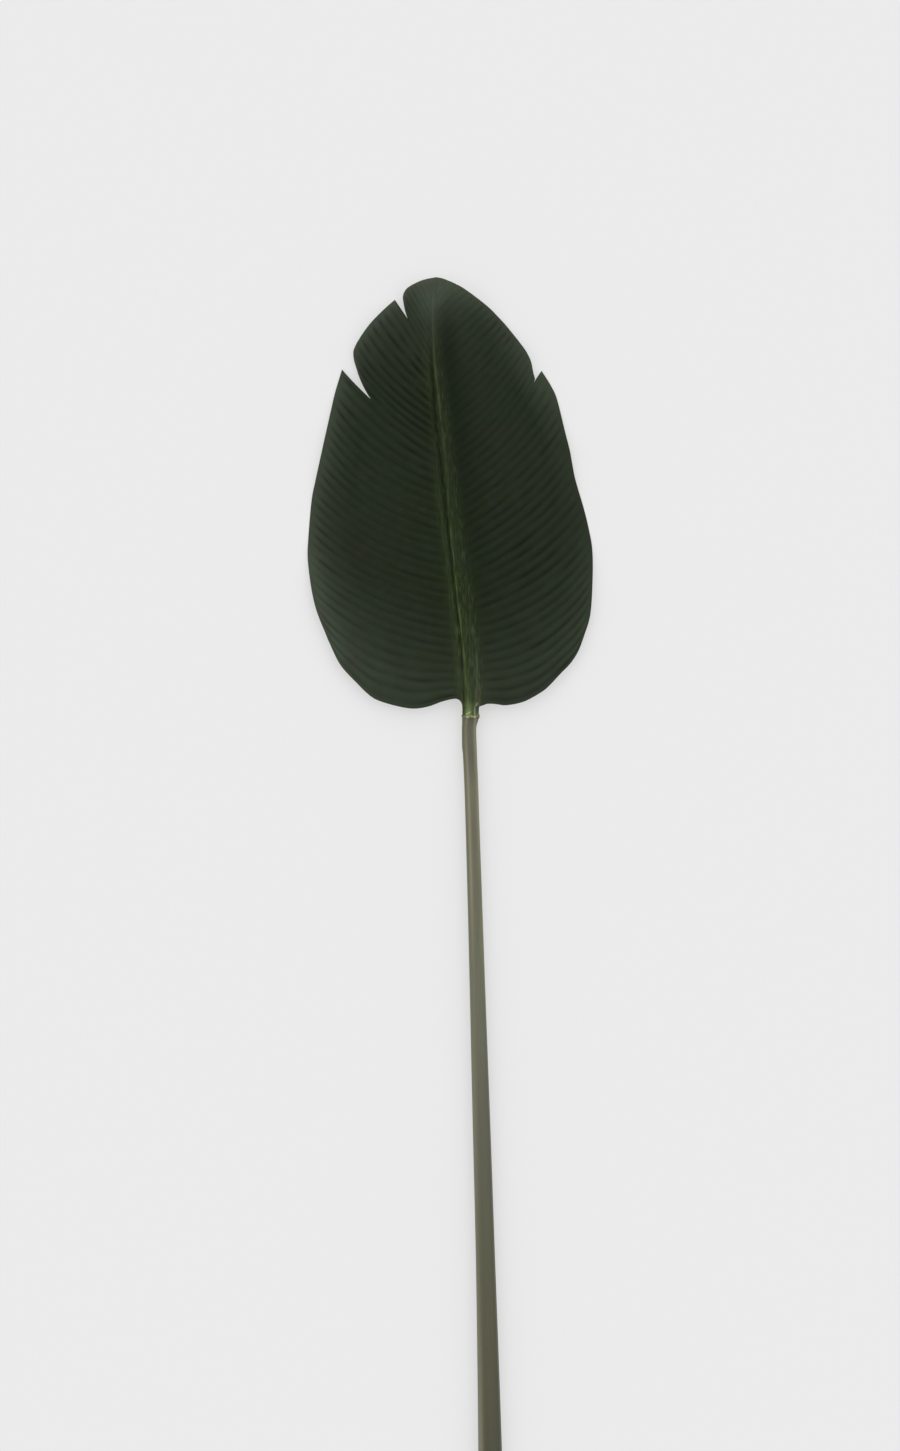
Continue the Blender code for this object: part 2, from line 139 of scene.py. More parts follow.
def selectOnly(piece, kind, wanted):
    # selects the piece's wanted edges or polygons, and nothing else
    for group in (piece.data.vertices, piece.data.edges, piece.data.polygons):
        group.foreach_set("select", [False] * len(group))
    for item in getattr(piece.data, kind):
        item.select = wanted(item)


def keepInBox(piece, low, high):
    # moves the corners that lie outside a box onto its walls
    for corner in piece.data.vertices:
        corner.co = [min(max(c, a), b) for c, a, b in zip(corner.co, low, high)]


# The blade: outline, veins, tears and heights

blade = {
    "leftFoot": [
        (-6, 9.3), (-6.9, 12.3), (-8.5, 14.2), (-10.6, 15.1), (-13.5, 15.2), (-22.7, 13),
        (-35, 8.6), (-48, 7), (-62.9, 9.6), (-78.3, 14.5), (-86.2, 20), (-93.5, 27.2),
        (-108.7, 43.8), (-119.1, 64.8),
    ],
    "leftLobes": [
        [(-119.1, 64.8), (-130.5, 95.1), (-136.3, 130.4), (-136, 153.2), (-133.4, 182.8),
         (-130.2, 199), (-126.3, 216.6), (-117.6, 256.1), (-113.5, 274.2), (-107.6, 294)],
        [(-94.2, 290.5), (-97.8, 304), (-96.2, 313.5), (-85.2, 330.1), (-72.5, 343.6),
         (-62.8, 352.4)],
        [(-55.3, 347.7), (-56, 355.4), (-52.3, 361.8), (-42.6, 366.9), (-35.7, 369.1),
         (-28, 370.7)],
    ],
    "rightFoot": [
        (8.6, 9.3), (12, 9.9), (16, 11.1), (23.2, 10.7), (31.2, 9.8), (46.3, 13),
        (61.7, 21.5), (69.2, 28.1), (76.7, 36.2), (85.6, 45.4), (92, 55.4), (96.7, 67.5),
    ],
    "rightLobes": [
        [(96.7, 67.5), (102.3, 87), (104.3, 119.6), (104, 142.4), (101.3, 158.6),
         (97.3, 175.2), (89.9, 200.1), (87.2, 213.2), (84.9, 225.7), (81.3, 240),
         (74.5, 268), (69.1, 280.3), (61.2, 292.7)],
        [(54.8, 286.3), (52.7, 298.3), (50, 305.1), (45.5, 312.4), (32.5, 329.2),
         (24.3, 338.2), (15.3, 346.7), (-3.3, 360.2), (-11.1, 364.7), (-17.8, 367.8),
         (-23.2, 369.8), (-28, 370.7)],
    ],
    "veins": 96,           # rows from the foot to the tip, raised and sunk in turn
    "finerRows": 4,        # rows of faces for each vein
    "tears": {"left": [56, 77], "right": [52]},
    "tearStart": 0.7,      # share of a vein where the tears begin
    # columns of faces near the rib, with their reach as a share of a vein and their crowding,
    # then in the middle, then out to the margin
    "nearRib": (8, 0.06, 1.4),
    "middleColumns": 22,
    "outerColumns": (11, 0.985),
    "marginShares": (0.994, 1),
    "tearOpening": {"left": 1.1, "right": 10},
    "tearOverlap": {"left": 0, "right": 0.3},
    "overlapStart": (0.3, 0.15),   # past the tear's start, and over what share it grows
    "veinAngles": {
        "left": [(0, 4), (0.25, 9), (0.48, 15), (0.58, 29), (0.68, 33),
                 (0.8, 56), (1, 66)],
        "right": [(0, 4), (0.15, 13), (0.3, 24), (0.47, 33), (0.7, 40),
                  (0.85, 50), (1, 62)],
    },
    "veinBend": 0.56,
    "footFade": 16,
    "tearFade": 9,
    "pleatHeight": 0.26,
    "pleatUneven": 0.5,
    "pleatUnevenness": (0.45, 2.2),  # how fast it changes across the veins and along them
    "strongPleats": {      # middle row, reach in rows, middle share, reach in share, change
        "left": [(27, 15, 0.5, 0.35, -0.5), (6, 9, 0.6, 0.4, -0.4), (60, 11, 0.25, 0.25, 0.5),
                 (48, 9, 0.75, 0.3, 0.15), (68, 8, 0.2, 0.25, 0.6), (43, 9, 0.35, 0.25, -0.35)],
        "right": [(28, 18, 0.55, 0.3, 0.2), (10, 12, 0.2, 0.2, -0.3), (56, 14, 0.9, 0.35, -0.3),
                  (26, 16, 1, 0.25, -0.3), (64, 16, 0.3, 0.3, -0.35), (21, 8, 0.55, 0.2, 0.35)],
    },
    "valleyShadeUneven": 1.2,   # of the painted shade lines in the sunk veins
    "valleyShadeUnevenness": (0.6, 6),
    "pleatFade": 0.1,
    "pleatTipRows": 24,
    "ripple": 0.35,        # unevenness of the sheet between the pleats
    "rippleLength": 38,
    "rippleFade": (0.15, 0.12),    # from the rib and from the margin, in shares of a vein
    "fold": 6,
    "droopPower": 1.8,
    "marginWave": 5,
    "lowRow": {"left": 24, "right": 22},
    "waveRows": {"left": 30, "right": 25},
    "tipLift": 9,
    "footLift": 7,
    "footDroop": 8,
    "tipBlend": 0.8,
    "lipStep": 1.2,
    "longVein": 120,
    "sheetTop": 0.2,       # of the upper side above the sheet's middle
    "sheetUnder": 0.5,     # of the underside below it
    "marginThinning": 0.25,
    "marginThin": 0.04,    # share of a vein over which it thins
    # where each pattern lies in the noise
    "unevenPattern": {"left": 3, "right": 8},
    "valleyShadePattern": 20,
    "ripplePattern": 70,
    "smoothBelow": 55,     # degrees: sharper edges stay sharp
}

rib = {
    "line": [
        (1.15, -2), (1.15, 7), (1.5, 14), (1.3, 26), (-2.8, 77), (-8.3, 124),
        (-13.1, 166), (-18.5, 212), (-23.2, 254), (-27.8, 296), (-30.1, 326),
        (-30.3, 351), (-28, 370.7),
    ],
    "foot": 9.3,           # where the sheet begins, above the collar's mouth
    "strips": 24,
    "heights": [(0, 15.5), (0.25, 18.5), (0.5, 21.5), (0.75, 20.5), (1, 12)],
    "widths": [(0, 14.6), (0.05, 13.4), (0.2, 10.3), (0.45, 8), (0.7, 5.8), (0.88, 3),
               (1, 1.8)],
    "keel": [(0, 0.92), (0.06, 0.78), (0.2, 0.65), (1, 0.6)],  # share of the width
    "keelRidges": 5,
    "keelRidgeHeight": 0.12,
    "channel": 0.075,      # share of the width
    "formRows": 6,         # rows over which the channel rises out of the smooth foot
    "reliefReach": (19, 8),        # the rib's lines end a little way into the sheet
    # the raised line with a painted highlight along it: its place right of the rib's middle, its half
    # width and height
    "lineOffset": [(0, -2), (0.014, -2.9), (0.05, -3.9), (0.13, -3.85), (0.25, -4.2),
                   (0.43, -3.5), (0.5, -2.4), (0.6, -0.9), (0.71, -1.1), (0.8, -1.1),
                   (0.88, -0.2), (1, 0.2)],
    "lineWidth": [(0, 2.3), (0.02, 2.2), (0.05, 1.7), (0.12, 0.9), (0.6, 0.9), (0.85, 0.7),
                  (1, 0.4)],
    "lineHeight": [(0, 0.5), (0.05, 0.8), (0.3, 0.8), (0.6, 0.65), (0.85, 0.35), (1, 0)],
    "lineStrength": [(0, 1), (0.2, 1.05), (0.29, 1), (0.38, 1), (0.475, 0.5),
                     (0.567, 0.35), (0.66, 0.5), (0.75, 0.8), (0.84, 0.4), (0.92, 0.1),
                     (1, 0)],
    "lineEnd": (1.02, 0.16),       # share of the length, and over what share it fades
    # the groove on its left, with painted shade in it
    "grooveOffset": [(0, -2.9), (0.1, -2.2), (0.25, -2.2), (0.38, -1.9), (0.475, -2.5),
                     (0.567, -4.2), (0.66, -4.7), (0.73, -3.2), (0.8, -2.4), (1, -2)],
    "grooveStrength": [(0, 0.3), (0.12, 0.7), (0.25, 0.9), (0.38, 1), (0.77, 1),
                       (0.83, 0.4), (0.9, 0), (1, 0)],
    "grooveWidth": [(0, 1), (0.28, 1), (0.4, 1.5), (0.8, 1.5), (1, 1)],
    "grooveDepth": 0.5,
    # a soft ridge on the left of the groove, with a painted highlight on it
    "ridgeOffset": [(0, -4.8), (0.1, -4.5), (0.25, -4.6), (0.39, -4.8), (0.48, -7),
                    (0.57, -7.2), (0.67, -6.6), (0.76, -6), (1, -5)],
    "ridgeStrength": [(0, 0.4), (0.05, 0.4), (0.12, 0.55), (0.2, 0.5), (0.3, 0.4),
                      (0.39, 0.5), (0.48, 0.35), (0.57, 0.22), (0.67, 0.12), (0.76, 0.4),
                      (0.83, 0), (0.92, 0), (1, 0)],
    "ridgeWidths": (4, 1.3),       # on its left and on its right
    "ridgeHeight": 0.2,
    # the greener band on the line's right, with a painted highlight along the rib's edge as a paler
    # strand
    "bandStrength": [(0, 0.75), (0.12, 0.4), (0.2, 0.3), (0.3, 0.22), (0.39, 0.27),
                     (0.48, 0.2), (0.57, 0.2), (0.67, 0.18), (0.75, 0.05), (0.84, 0),
                     (1, 0)],
    "bandStart": (-0.5, 2),        # right of the line, and over what width it grows
    "bandEnd": (3, 4),     # outside the rib's edge, and over what width it fades
    "bandBase": 0.85,
    "edgeHighlight": (0.5, 1, 0.5),   # place outside the rib's edge, half width, strength
    "edgeDip": (-2, 1.2, 0.3),
    # fine crinkles near the rib: reach outside its edges, and strength
    "crinkleReach": 7,
    "crinkleFade": 5,
    "crinkleStart": (4, 2),        # above the mouth, and over what height it grows
    "crinkleStrength": [(0, 0.5), (0.04, 1), (0.2, 1), (0.4, 0.5), (0.55, 0.7), (0.85, 0.5),
                        (0.95, 0), (1, 0)],
    # a second pale line on the right of the foot
    "footLine": [(0, 4.6), (0.2, 5.3), (0.4, 6.3), (0.9, 5.9), (1, 5.7)],
    "footLineLength": 63,
    "footLineWidth": 0.75,
    "footLineEnds": (0.05, 0.85, 0.12),  # start, end and fade, as shares of its length
    "footLineHeight": 0.3,
}

collar = {
    "height": 8.5,         # of the joint above the floor
    "radius": 7,
    "lipRadius": 7.5,
    "roundBelow": 2.7,     # below the rib's foot, where the section has become round
    "lipBelow": 7.2,
    "edge": 0.3,
    "boreRadius": 6.2,
    "boreDepth": 6,
    "stations": [0.15, 0.3, 0.6, 0.9, 1.2, 1.5, 1.8, 2.1, 2.4, 2.7, 3.4, 4.2, 5, 5.8, 6.5,
                 6.9, 7.05, 7.2, 7.35, 7.5, 8, 8.5, 8.9, 9.05, 9.18, 9.3],
    # the slit on the right, where the sheath opens, with painted shade in it, and the pale rim on its
    # left
    "slitPlace": (6.9, 6.9),
    "slitReach": (1.8, 3),
    "slitDepth": 0.9,
    "rimPlace": 4.65,
    "rimBend": (7.5, 3.5, 1.7),    # bends right from here, over this height, by this much
    "rimWidth": 0.6,
    "rimEnds": (0.8, 11.3, 1),     # bottom, top and fade
    "rimHeight": 0.35,
    # darker strands: place, half width, bottom, top and strength
    "darkStrands": [(3.1, 0.9, 1, 22, 0.4), (-4.8, 0.7, 4, 22, 0.55)],
    "strandFade": 3,
    "paleTop": 22,         # the line's painted highlight gets paler from here to the mouth
    "palePower": 2.5,
    # a brownish strip above the slit: middle and half width, then bottom, top and fade
    "scar": (7.9, 1.2),
    "scarEnds": (12.5, 24, 2.5),
    # the collar's own green: its top and how it fades there, its half width and how it fades
    "green": (15, 7, 8.5, 1.5),
    "rowLength": 3.7,      # of the veins' rows, which go on down the collar
}

# How much painted sheen pales the upper side, 0 to 1: by share of a vein, and by row at the foot and
# the tip
faded = {
    "left": [(0, 0), (0.6, 0), (0.78, 0.12), (0.88, 0.31), (0.95, 0.6), (1, 0.72)],
    "right": [(0, 0), (0.7, 0), (0.85, 0.1), (0.95, 0.2), (1, 0.25)],
    "rows": {"left": [(0, 1), (60, 1), (84, 1.3), (96, 1.3)],
             "right": [(0, 0.4), (18, 0.6), (38, 1), (48, 2.4), (58, 2.6), (72, 2.2),
                       (96, 2.2)]},
    "foot": [(0, 1), (5, 0.85), (10, 0.5), (17, 0.22), (26, 0), (96, 0)],
    "footLeft": (0.25, 0.44),      # strength at the rib, and how much more at the margin
    "footRight": (0.3, 0.07),
    "footSpread": 0.14,    # how far the foot widens the margin paled by painted sheen
    "tip": [(0, 0), (58, 0), (79, 0.18), (86, 0.55), (91, 0.95), (96, 1.05)],
    # painted shade on the right of the rib: by row, then its place and reach along the veins
    "shade": [(0, 0), (15, 0.1), (35, 0.5), (45, 0.75), (60, 1), (76, 1.2),
              (82, 1), (89, 0.2), (96, 0)],
    "shadePlace": 13,
    "shadeReach": 14,
}

ribMarks = ["ribLight", "ribPale", "ribGroove", "ribBand", "ribRidge", "crinkle", "footLight",
            "collarGreen", "scar", "slitRim", "slit"]
leafMarks = ["vein", "reach", "alongVein", "faded", "stripe", "shade", *ribMarks]
noMarks = {mark: 0 for mark in ribMarks}   # away from the rib and the collar
tip = Vector(blade["leftLobes"][-1][-1])
ribTrack = makeTrack(rib["line"])
mouthDistance = -rib["line"][0][1]
footDistance = mouthDistance + rib["foot"]


@functools.cache
def ribPlace(row):
    # the rib's middle at a row, and its direction
    length = trackLength(ribTrack) - footDistance
    return trackAt(ribTrack, footDistance + length * row / blade["veins"])


@functools.cache
def ribWidth(row):
    return lookUp(rib["widths"], row / blade["veins"])


@functools.cache
def ribHeight(row):
    return lookUp(rib["heights"], row / blade["veins"])


def ribSide(row, sign):
    middle, along = ribPlace(row)
    return middle + Vector((along.y, -along.x)) * sign * ribWidth(row) / 2


def veinShares():
    # shares of a vein's length: close together at the rib and at the margin
    start = blade["tearStart"]
    count, reach, crowding = blade["nearRib"]
    nearRib = [reach * (n / count) ** crowding for n in range(count)]
    count = blade["middleColumns"]
    middle = [reach + (start - reach) * n / count for n in range(count)]
    count, end = blade["outerColumns"]
    outer = [start + (end - start) * n / count for n in range(count + 1)]
    return [*nearRib, *middle, *outer, *blade["marginShares"]]


shares = veinShares()


def pastTear(share):
    return max(0, (share - blade["tearStart"]) / (1 - blade["tearStart"]))


def plainVein(side, row, end):
    # from the rib's edge to a point on the margin, curving up towards the tip
    sign = -1 if side == "left" else 1
    start = ribSide(row, sign)
    angle = math.radians(lookUp(blade["veinAngles"][side], row / blade["veins"]))
    leaving = Vector((sign * math.cos(angle), math.sin(angle)))
    bend = start + leaving * (end - start).length * blade["veinBend"]
    return [start * (1 - u) ** 2 + bend * 2 * u * (1 - u) + end * u**2 for u in shares]


def lipVein(side, row, lipEnd, otherEnd):
    # one lip of a tear: the vein that both lips share, parted past the tear's start
    shared = plainVein(side, row, (lipEnd + otherEnd) / 2)
    apart = (lipEnd - otherEnd) / 2
    start, growth = blade["overlapStart"]
    lip = []
    for point, u in zip(shared, shares):
        past = pastTear(u)
        overlap = blade["tearOverlap"][side] * eased((past - start) / growth) * (1 - past**6)
        lip.append(point + apart * past ** blade["tearOpening"][side] - apart.normalized() * overlap)
    return lip


def footEdge(side):
    sign = -1 if side == "left" else 1
    track = makeTrack([ribSide(0, sign), *blade[side + "Foot"][1:]])
    return [trackAt(track, trackLength(track) * u)[0] for u in shares]


def pullTowards(veins, row, edge, fade):
    # makes one vein follow an edge exactly, and its neighbours less and less
    change = [there - here for here, there in zip(veins[row], edge)]
    for other, points in veins.items():
        share = 1 - min(1, abs(other - row) / fade)
        veins[other] = [p + c * share * share for p, c in zip(points, change)]


def lobeRows(side):
    tears = blade["tears"][side]
    return list(zip([0, *tears], [*tears, blade["veins"]]))


def lobeVeins(side, number):
    # {row: points of that vein} for one lobe, with rows finer than the veins
    lobes = [[Vector(point) for point in lobe] for lobe in blade[side + "Lobes"]]
    first, last = lobeRows(side)[number]
    margin = makeTrack(lobes[number])
    count = (last - first) * blade["finerRows"]
    veins = {}
    for step in range(count + 1):
        row = first + step / blade["finerRows"]
        end = trackAt(margin, trackLength(margin) * step / count)[0]
        veins[row] = plainVein(side, row, end)
    if number == 0:
        pullTowards(veins, 0, footEdge(side), blade["footFade"])
    else:
        lip = lipVein(side, first, lobes[number][0], lobes[number - 1][-1])
        pullTowards(veins, first, lip, blade["tearFade"])
    if last < blade["veins"]:
        lip = lipVein(side, last, lobes[number][-1], lobes[number + 1][0])
        pullTowards(veins, last, lip, blade["tearFade"])
    return veins


@functools.cache
def marginHeight(side, row):
    # the margin touches the floor at its low row and waves up from there
    past = row - blade["lowRow"][side]
    wave = blade["marginWave"] * (1 - math.cos(2 * math.pi * past / blade["waveRows"][side])) / 2
    reach = blade["veins"] - blade["lowRow"][side] if past > 0 else blade["lowRow"][side]
    lift = (blade["tipLift"] if past > 0 else blade["footLift"]) * (past / reach) ** 2
    return blade["sheetUnder"] + wave + lift


def pleatStrength(side, row, u):
    # veins are raised and sunk in turn, some more than others
    strength = 1
    for middleRow, rows, middleShare, share, change in blade["strongPleats"][side]:
        strength += change * bump((row - middleRow) / rows) * bump((u - middleShare) / share)
    strength *= eased(u / blade["pleatFade"]) * eased((1 - u) / blade["pleatFade"])
    return strength * min(1, (blade["veins"] - row) / blade["pleatTipRows"])


def uneven(side, across, along):
    # noise between -1 and 1
    return noise.noise(Vector((across, along, blade["unevenPattern"][side])))


def pleat(side, row, u):
    height = blade["pleatHeight"] * pleatStrength(side, row, u)
    across, along = blade["pleatUnevenness"]
    height *= 1 + blade["pleatUneven"] * uneven(side, row * across, u * along)
    return height * math.cos(math.pi * row)


def stripe(side, row, u):
    # painted shade along the sunk veins: how strong it is, broken up along them
    across, along = blade["valleyShadeUnevenness"]
    place = row * across + blade["valleyShadePattern"]
    broken = 1 + blade["valleyShadeUneven"] * uneven(side, place, u * along)
    return max(0, broken) * pleatStrength(side, row, u)


def laminaHeight(side, row, u, veinLength, lip):
    inner, outer = ribHeight(row), marginHeight(side, row)
    tipBlend = blade["tipBlend"]
    outer += (inner - outer) * eased((row / blade["veins"] - tipBlend) / (1 - tipBlend))
    arch = 4 * u * (1 - u)
    height = inner + (outer - inner) * u ** blade["droopPower"]
    height += blade["fold"] * arch * min(1, veinLength / blade["longVein"])
    height -= blade["footDroop"] * arch * (1 - min(1, row / blade["footFade"])) ** 2
    return height + pleat(side, row, u) + blade["lipStep"] * lip * pastTear(u)


def lipShare(side, number, row):
    # 1 on the lip at a lobe's first row and -1 at its last, fading between
    first, last = lobeRows(side)[number]
    fade = blade["tearFade"]
    upper = 1 - min(1, (row - first) / fade) if first > 0 else 0
    lower = 1 - min(1, (last - row) / fade) if last < blade["veins"] else 0
    return upper**2 - lower**2


def sheenShare(side, row, u):
    # painted sheen: how much paler the upper side is drawn at its margins, foot and tip
    foot = lookUp(faded["foot"], max(row, 0))
    base, more = faded["footLeft"] if side == "left" else faded["footRight"]
    edge = lookUp(faded[side], min(1, u + faded["footSpread"] * foot * u))
    edge = min(0.95, edge * lookUp(faded["rows"][side], max(row, 0)))
    kept = (1 - edge) * (1 - foot * (base + more * u)) * (1 - lookUp(faded["tip"], row))
    return 1 - kept


def shade(side, row, alongVein):
    # the upper side is darker on the right of the rib
    strength = lookUp(faded["shade"], max(row, 0)) if side == "right" else 0
    return strength * bump((alongVein - faded["shadePlace"]) / faded["shadeReach"])


def ribRelief(row, offset, plan):
    # height and marks of the lines along the rib, at an offset right of its middle
    share = max(0, row / blade["veins"])
    fromLine = offset - lookUp(rib["lineOffset"], share)
    end, fade = rib["lineEnd"]
    # painted highlight along the raised line
    light = bump(fromLine / lookUp(rib["lineWidth"], share)) * eased((end - share) / fade)
    # painted shade in the groove
    groove = bump((fromLine - lookUp(rib["grooveOffset"], share))
                  / lookUp(rib["grooveWidth"], share))
    groove *= lookUp(rib["grooveStrength"], share)
    for place, wide, low, top, strength in collar["darkStrands"]:
        spread = window(plan.y, low, top, collar["strandFade"])
        groove += strength * bump((plan.x - place) / wide) * spread
    half = ribWidth(max(0, row)) / 2
    fromEdge = offset - half
    (start, growth), (end, fade) = rib["bandStart"], rib["bandEnd"]
    band = eased((fromLine - start) / growth) * eased((end - fromEdge) / fade)
    # painted highlight along the rib's edge
    place, wide, strength = rib["edgeHighlight"]
    band *= rib["bandBase"] + strength * bump((fromEdge - place) / wide)
    place, wide, strength = rib["edgeDip"]
    band *= 1 - strength * bump((fromEdge - place) / wide)
    band *= lookUp(rib["bandStrength"], share)
    # painted highlight on the soft ridge
    fromRidge = fromLine - lookUp(rib["ridgeOffset"], share)
    ridge = bump(fromRidge / rib["ridgeWidths"][0 if fromRidge < 0 else 1])
    ridge *= lookUp(rib["ridgeStrength"], share)
    start, growth = rib["crinkleStart"]
    crinkle = lookUp(rib["crinkleStrength"], share) * eased((plan.y - start) / growth)
    crinkle *= eased((rib["crinkleReach"] + half - abs(offset)) / rib["crinkleFade"])
    up = plan.y / rib["footLineLength"]
    footLight = bump((plan.x - lookUp(rib["footLine"], up)) / rib["footLineWidth"])
    footLight *= window(up, *rib["footLineEnds"])
    # the slit: sunk, with painted shade in it
    slit = bump((plan.x - collar["slitPlace"][0]) / collar["slitReach"][0])
    slit *= bump(((plan.y - collar["slitPlace"][1]) / collar["slitReach"][1]) ** 2)
    bendStart, bendHeight, bend = collar["rimBend"]
    rimPlace = collar["rimPlace"] + bend * eased((plan.y - bendStart) / bendHeight)
    slitRim = bump((plan.x - rimPlace) / collar["rimWidth"])
    slitRim *= window(plan.y, *collar["rimEnds"])
    height = light * lookUp(rib["lineHeight"], share) - groove * rib["grooveDepth"]
    height += footLight * rib["footLineHeight"] + slitRim * collar["rimHeight"]
    height += ridge * rib["ridgeHeight"] - slit * collar["slitDepth"]
    # the line's painted highlight, paler near the mouth
    pale = light * max(0, 1 - max(0, plan.y) / collar["paleTop"]) ** collar["palePower"]
    place, wide = collar["scar"]
    scar = bump((plan.x - place) / wide) * window(plan.y, *collar["scarEnds"])
    light *= lookUp(rib["lineStrength"], share)
    top, fade, wide, sideFade = collar["green"]
    fromMiddle = abs(plan.x - rib["line"][0][0])
    green = eased((top - plan.y) / fade) * eased((wide - fromMiddle) / sideFade)
    return height, {
        "ribLight": light, "ribPale": pale, "ribGroove": groove, "ribBand": band,
        "ribRidge": ridge, "crinkle": crinkle * (1 - light), "footLight": footLight,
        "collarGreen": green, "scar": scar, "slitRim": slitRim, "slit": slit,
    }


def sheetSpot(plan, upper, under, marks, row, reach, alongVein):
    # one corner of the upper sheet, with the height of the underside below it
    place = Vector((plan.x, plan.y, upper))
    side = "left" if alongVein < 0 else "right"
    return {"place": place, "under": under, "vein": row, "reach": reach,
            "alongVein": alongVein, "faded": sheenShare(side, row, reach),
            "stripe": stripe(side, row, reach), "shade": shade(side, row, alongVein), **marks}


def tipSpot():
    row = blade["veins"]
    upper, under = ribHeight(row) + blade["sheetTop"], ribHeight(row) - blade["sheetUnder"]
    return sheetSpot(tip, upper, under, noMarks, row, 0, 0)


def laminaSpot(side, number, row, u, plan, veinLength):
    if row == blade["veins"]:
        return tipSpot()
    ribMiddle, along = ribPlace(row)
    offset = (plan - ribMiddle).dot(Vector((along.y, -along.x)))
    reach, fade = rib["reliefReach"]
    near = eased((reach - abs(offset)) / fade)
    relief, marks = ribRelief(row, offset, plan) if near else (0, noMarks)
    marks = {mark: value * near for mark, value in marks.items()}
    middle = laminaHeight(side, row, u, veinLength, lipShare(side, number, row))
    ribFade, marginFade = blade["rippleFade"]
    spread = eased(u / ribFade) * eased((1 - u) / marginFade)
    ripplePlace = Vector((plan.x, plan.y, blade["ripplePattern"])) / blade["rippleLength"]
    middle += blade["ripple"] * noise.noise(ripplePlace) * spread
    half = ribWidth(row) / 2
    upper = middle + blade["sheetTop"] + relief * near
    upper -= blade["marginThinning"] * eased((u - 1) / blade["marginThin"] + 1)
    under = middle - blade["sheetUnder"] + relief * near * eased((abs(offset) - half) / 2)
    sign = -1 if side == "left" else 1
    return sheetSpot(plan, upper, under, marks, row, u, sign * (half + u * veinLength))


def ribSpot(column, row):
    # a corner of the rib, from its foot to the tip
    if row == blade["veins"]:
        return tipSpot()
    middle, along = ribPlace(row)
    right = Vector((along.y, -along.x))
    turn = math.pi * column / rib["strips"]
    width, height = ribWidth(row), ribHeight(row)
    offset = -math.cos(turn) * width / 2
    plan = middle + right * offset
    relief, marks = ribRelief(row, offset, plan)
    form = eased(row / rib["formRows"])
    channel = rib["channel"] * width * form * math.sin(turn) ** 2
    ridges = rib["keelRidgeHeight"] * math.cos(turn * 2 * rib["keelRidges"]) * form
    keel = (lookUp(rib["keel"], row / blade["veins"]) * width - ridges) * math.sin(turn)
    upper = height + blade["sheetTop"] + relief - channel
    return sheetSpot(plan, upper, height - blade["sheetUnder"] - keel, marks, row, 0, offset)


def collarSpot(column, below):
    # a corner of the collar, at a distance below the rib's foot
    turn = math.pi * column / rib["strips"]
    rounding = eased(below / collar["roundBelow"])
    lip = eased((below - collar["lipBelow"]) / collar["edge"] + 0.5)
    bevel = collar["edge"] * eased((below - rib["foot"]) / collar["edge"] + 1)
    radius = collar["radius"] + (collar["lipRadius"] - collar["radius"]) * lip - bevel
    half = ribWidth(0) / 2
    middle, along = trackAt(ribTrack, footDistance - below)
    right = Vector((along.y, -along.x))
    offset = -math.cos(turn) * (half + (radius - half) * rounding)
    plan = middle + right * offset
    relief, marks = ribRelief(0, offset, plan)
    footUpper = ribHeight(0) + blade["sheetTop"]
    footUnder = ribHeight(0) - blade["sheetUnder"] - lookUp(rib["keel"], 0) * half * 2 * math.sin(turn)
    rise = blade["sheetUnder"] + (radius - blade["sheetUnder"]) * math.sin(turn)
    upper = footUpper + (collar["height"] + rise - footUpper) * rounding
    upper += relief * (1 + (math.sin(turn) - 1) * rounding)
    under = footUnder + (collar["height"] - rise - footUnder) * rounding
    return sheetSpot(plan, upper, under, marks, -below / collar["rowLength"], 0, offset)


def layGrid(name, columns, rows, spotAt):
    # a flat grid, each corner of which is carried to its place on the leaf
    bpy.ops.object.select_all(action="DESELECT")
    bpy.ops.mesh.primitive_grid_add(x_subdivisions=columns, y_subdivisions=rows, size=1)
    sheet = bpy.context.object
    sheet.name = name
    spots = []
    for corner in sheet.data.vertices:
        spot = spotAt(round((corner.co.x + 0.5) * columns), round((corner.co.y + 0.5) * rows))
        corner.co = spot["place"] * mm
        spots.append(spot)
    for mark in ["under", *leafMarks]:
        addMark(sheet, mark, [spot[mark] for spot in spots])
    return sheet


def layLobe(side, number):
    veins = lobeVeins(side, number)
    first = lobeRows(side)[number][0]
    toTear = shares.index(blade["tearStart"])
    lengths = {}
    for row, points in veins.items():
        inner = sum((b - a).length for a, b in zip(points[:toTear], points[1:toTear + 1]))
        lengths[row] = inner / blade["tearStart"]
    last = len(shares) - 1

    def spotAt(column, step):
        row = first + step / blade["finerRows"]
        place = column if side == "right" else last - column
        return laminaSpot(side, number, row, shares[place], veins[row][place], lengths[row])

    return layGrid(f"{side}Lobe{number}", last, len(veins) - 1, spotAt)


def layRib():
    stations = collar["stations"][::-1]

    def spotAt(column, step):
        if step < len(stations):
            return collarSpot(column, stations[step])
        return ribSpot(column, (step - len(stations)) / blade["finerRows"])

    rows = len(stations) + blade["veins"] * blade["finerRows"]
    return layGrid("rib", rib["strips"], rows, spotAt)


def giveUnderside(leaf):
    # the upper sheet is extruded, and what stays behind goes down to be the underside
    bpy.ops.object.mode_set(mode="EDIT")
    bpy.ops.mesh.select_all(action="SELECT")
    bpy.ops.mesh.remove_doubles(threshold=1e-6)
    bpy.ops.mesh.extrude_region_move(TRANSFORM_OT_translate={"value": (0, 0, 0)})
    bpy.ops.object.mode_set(mode="OBJECT")
    isUnder = [0 if corner.select else 1 for corner in leaf.data.vertices]
    underHeight = leaf.data.attributes["under"].data
    for corner, under in zip(leaf.data.vertices, isUnder):
        if under:
            corner.co.z = underHeight[corner.index].value * mm
    addMark(leaf, "underside", isUnder)


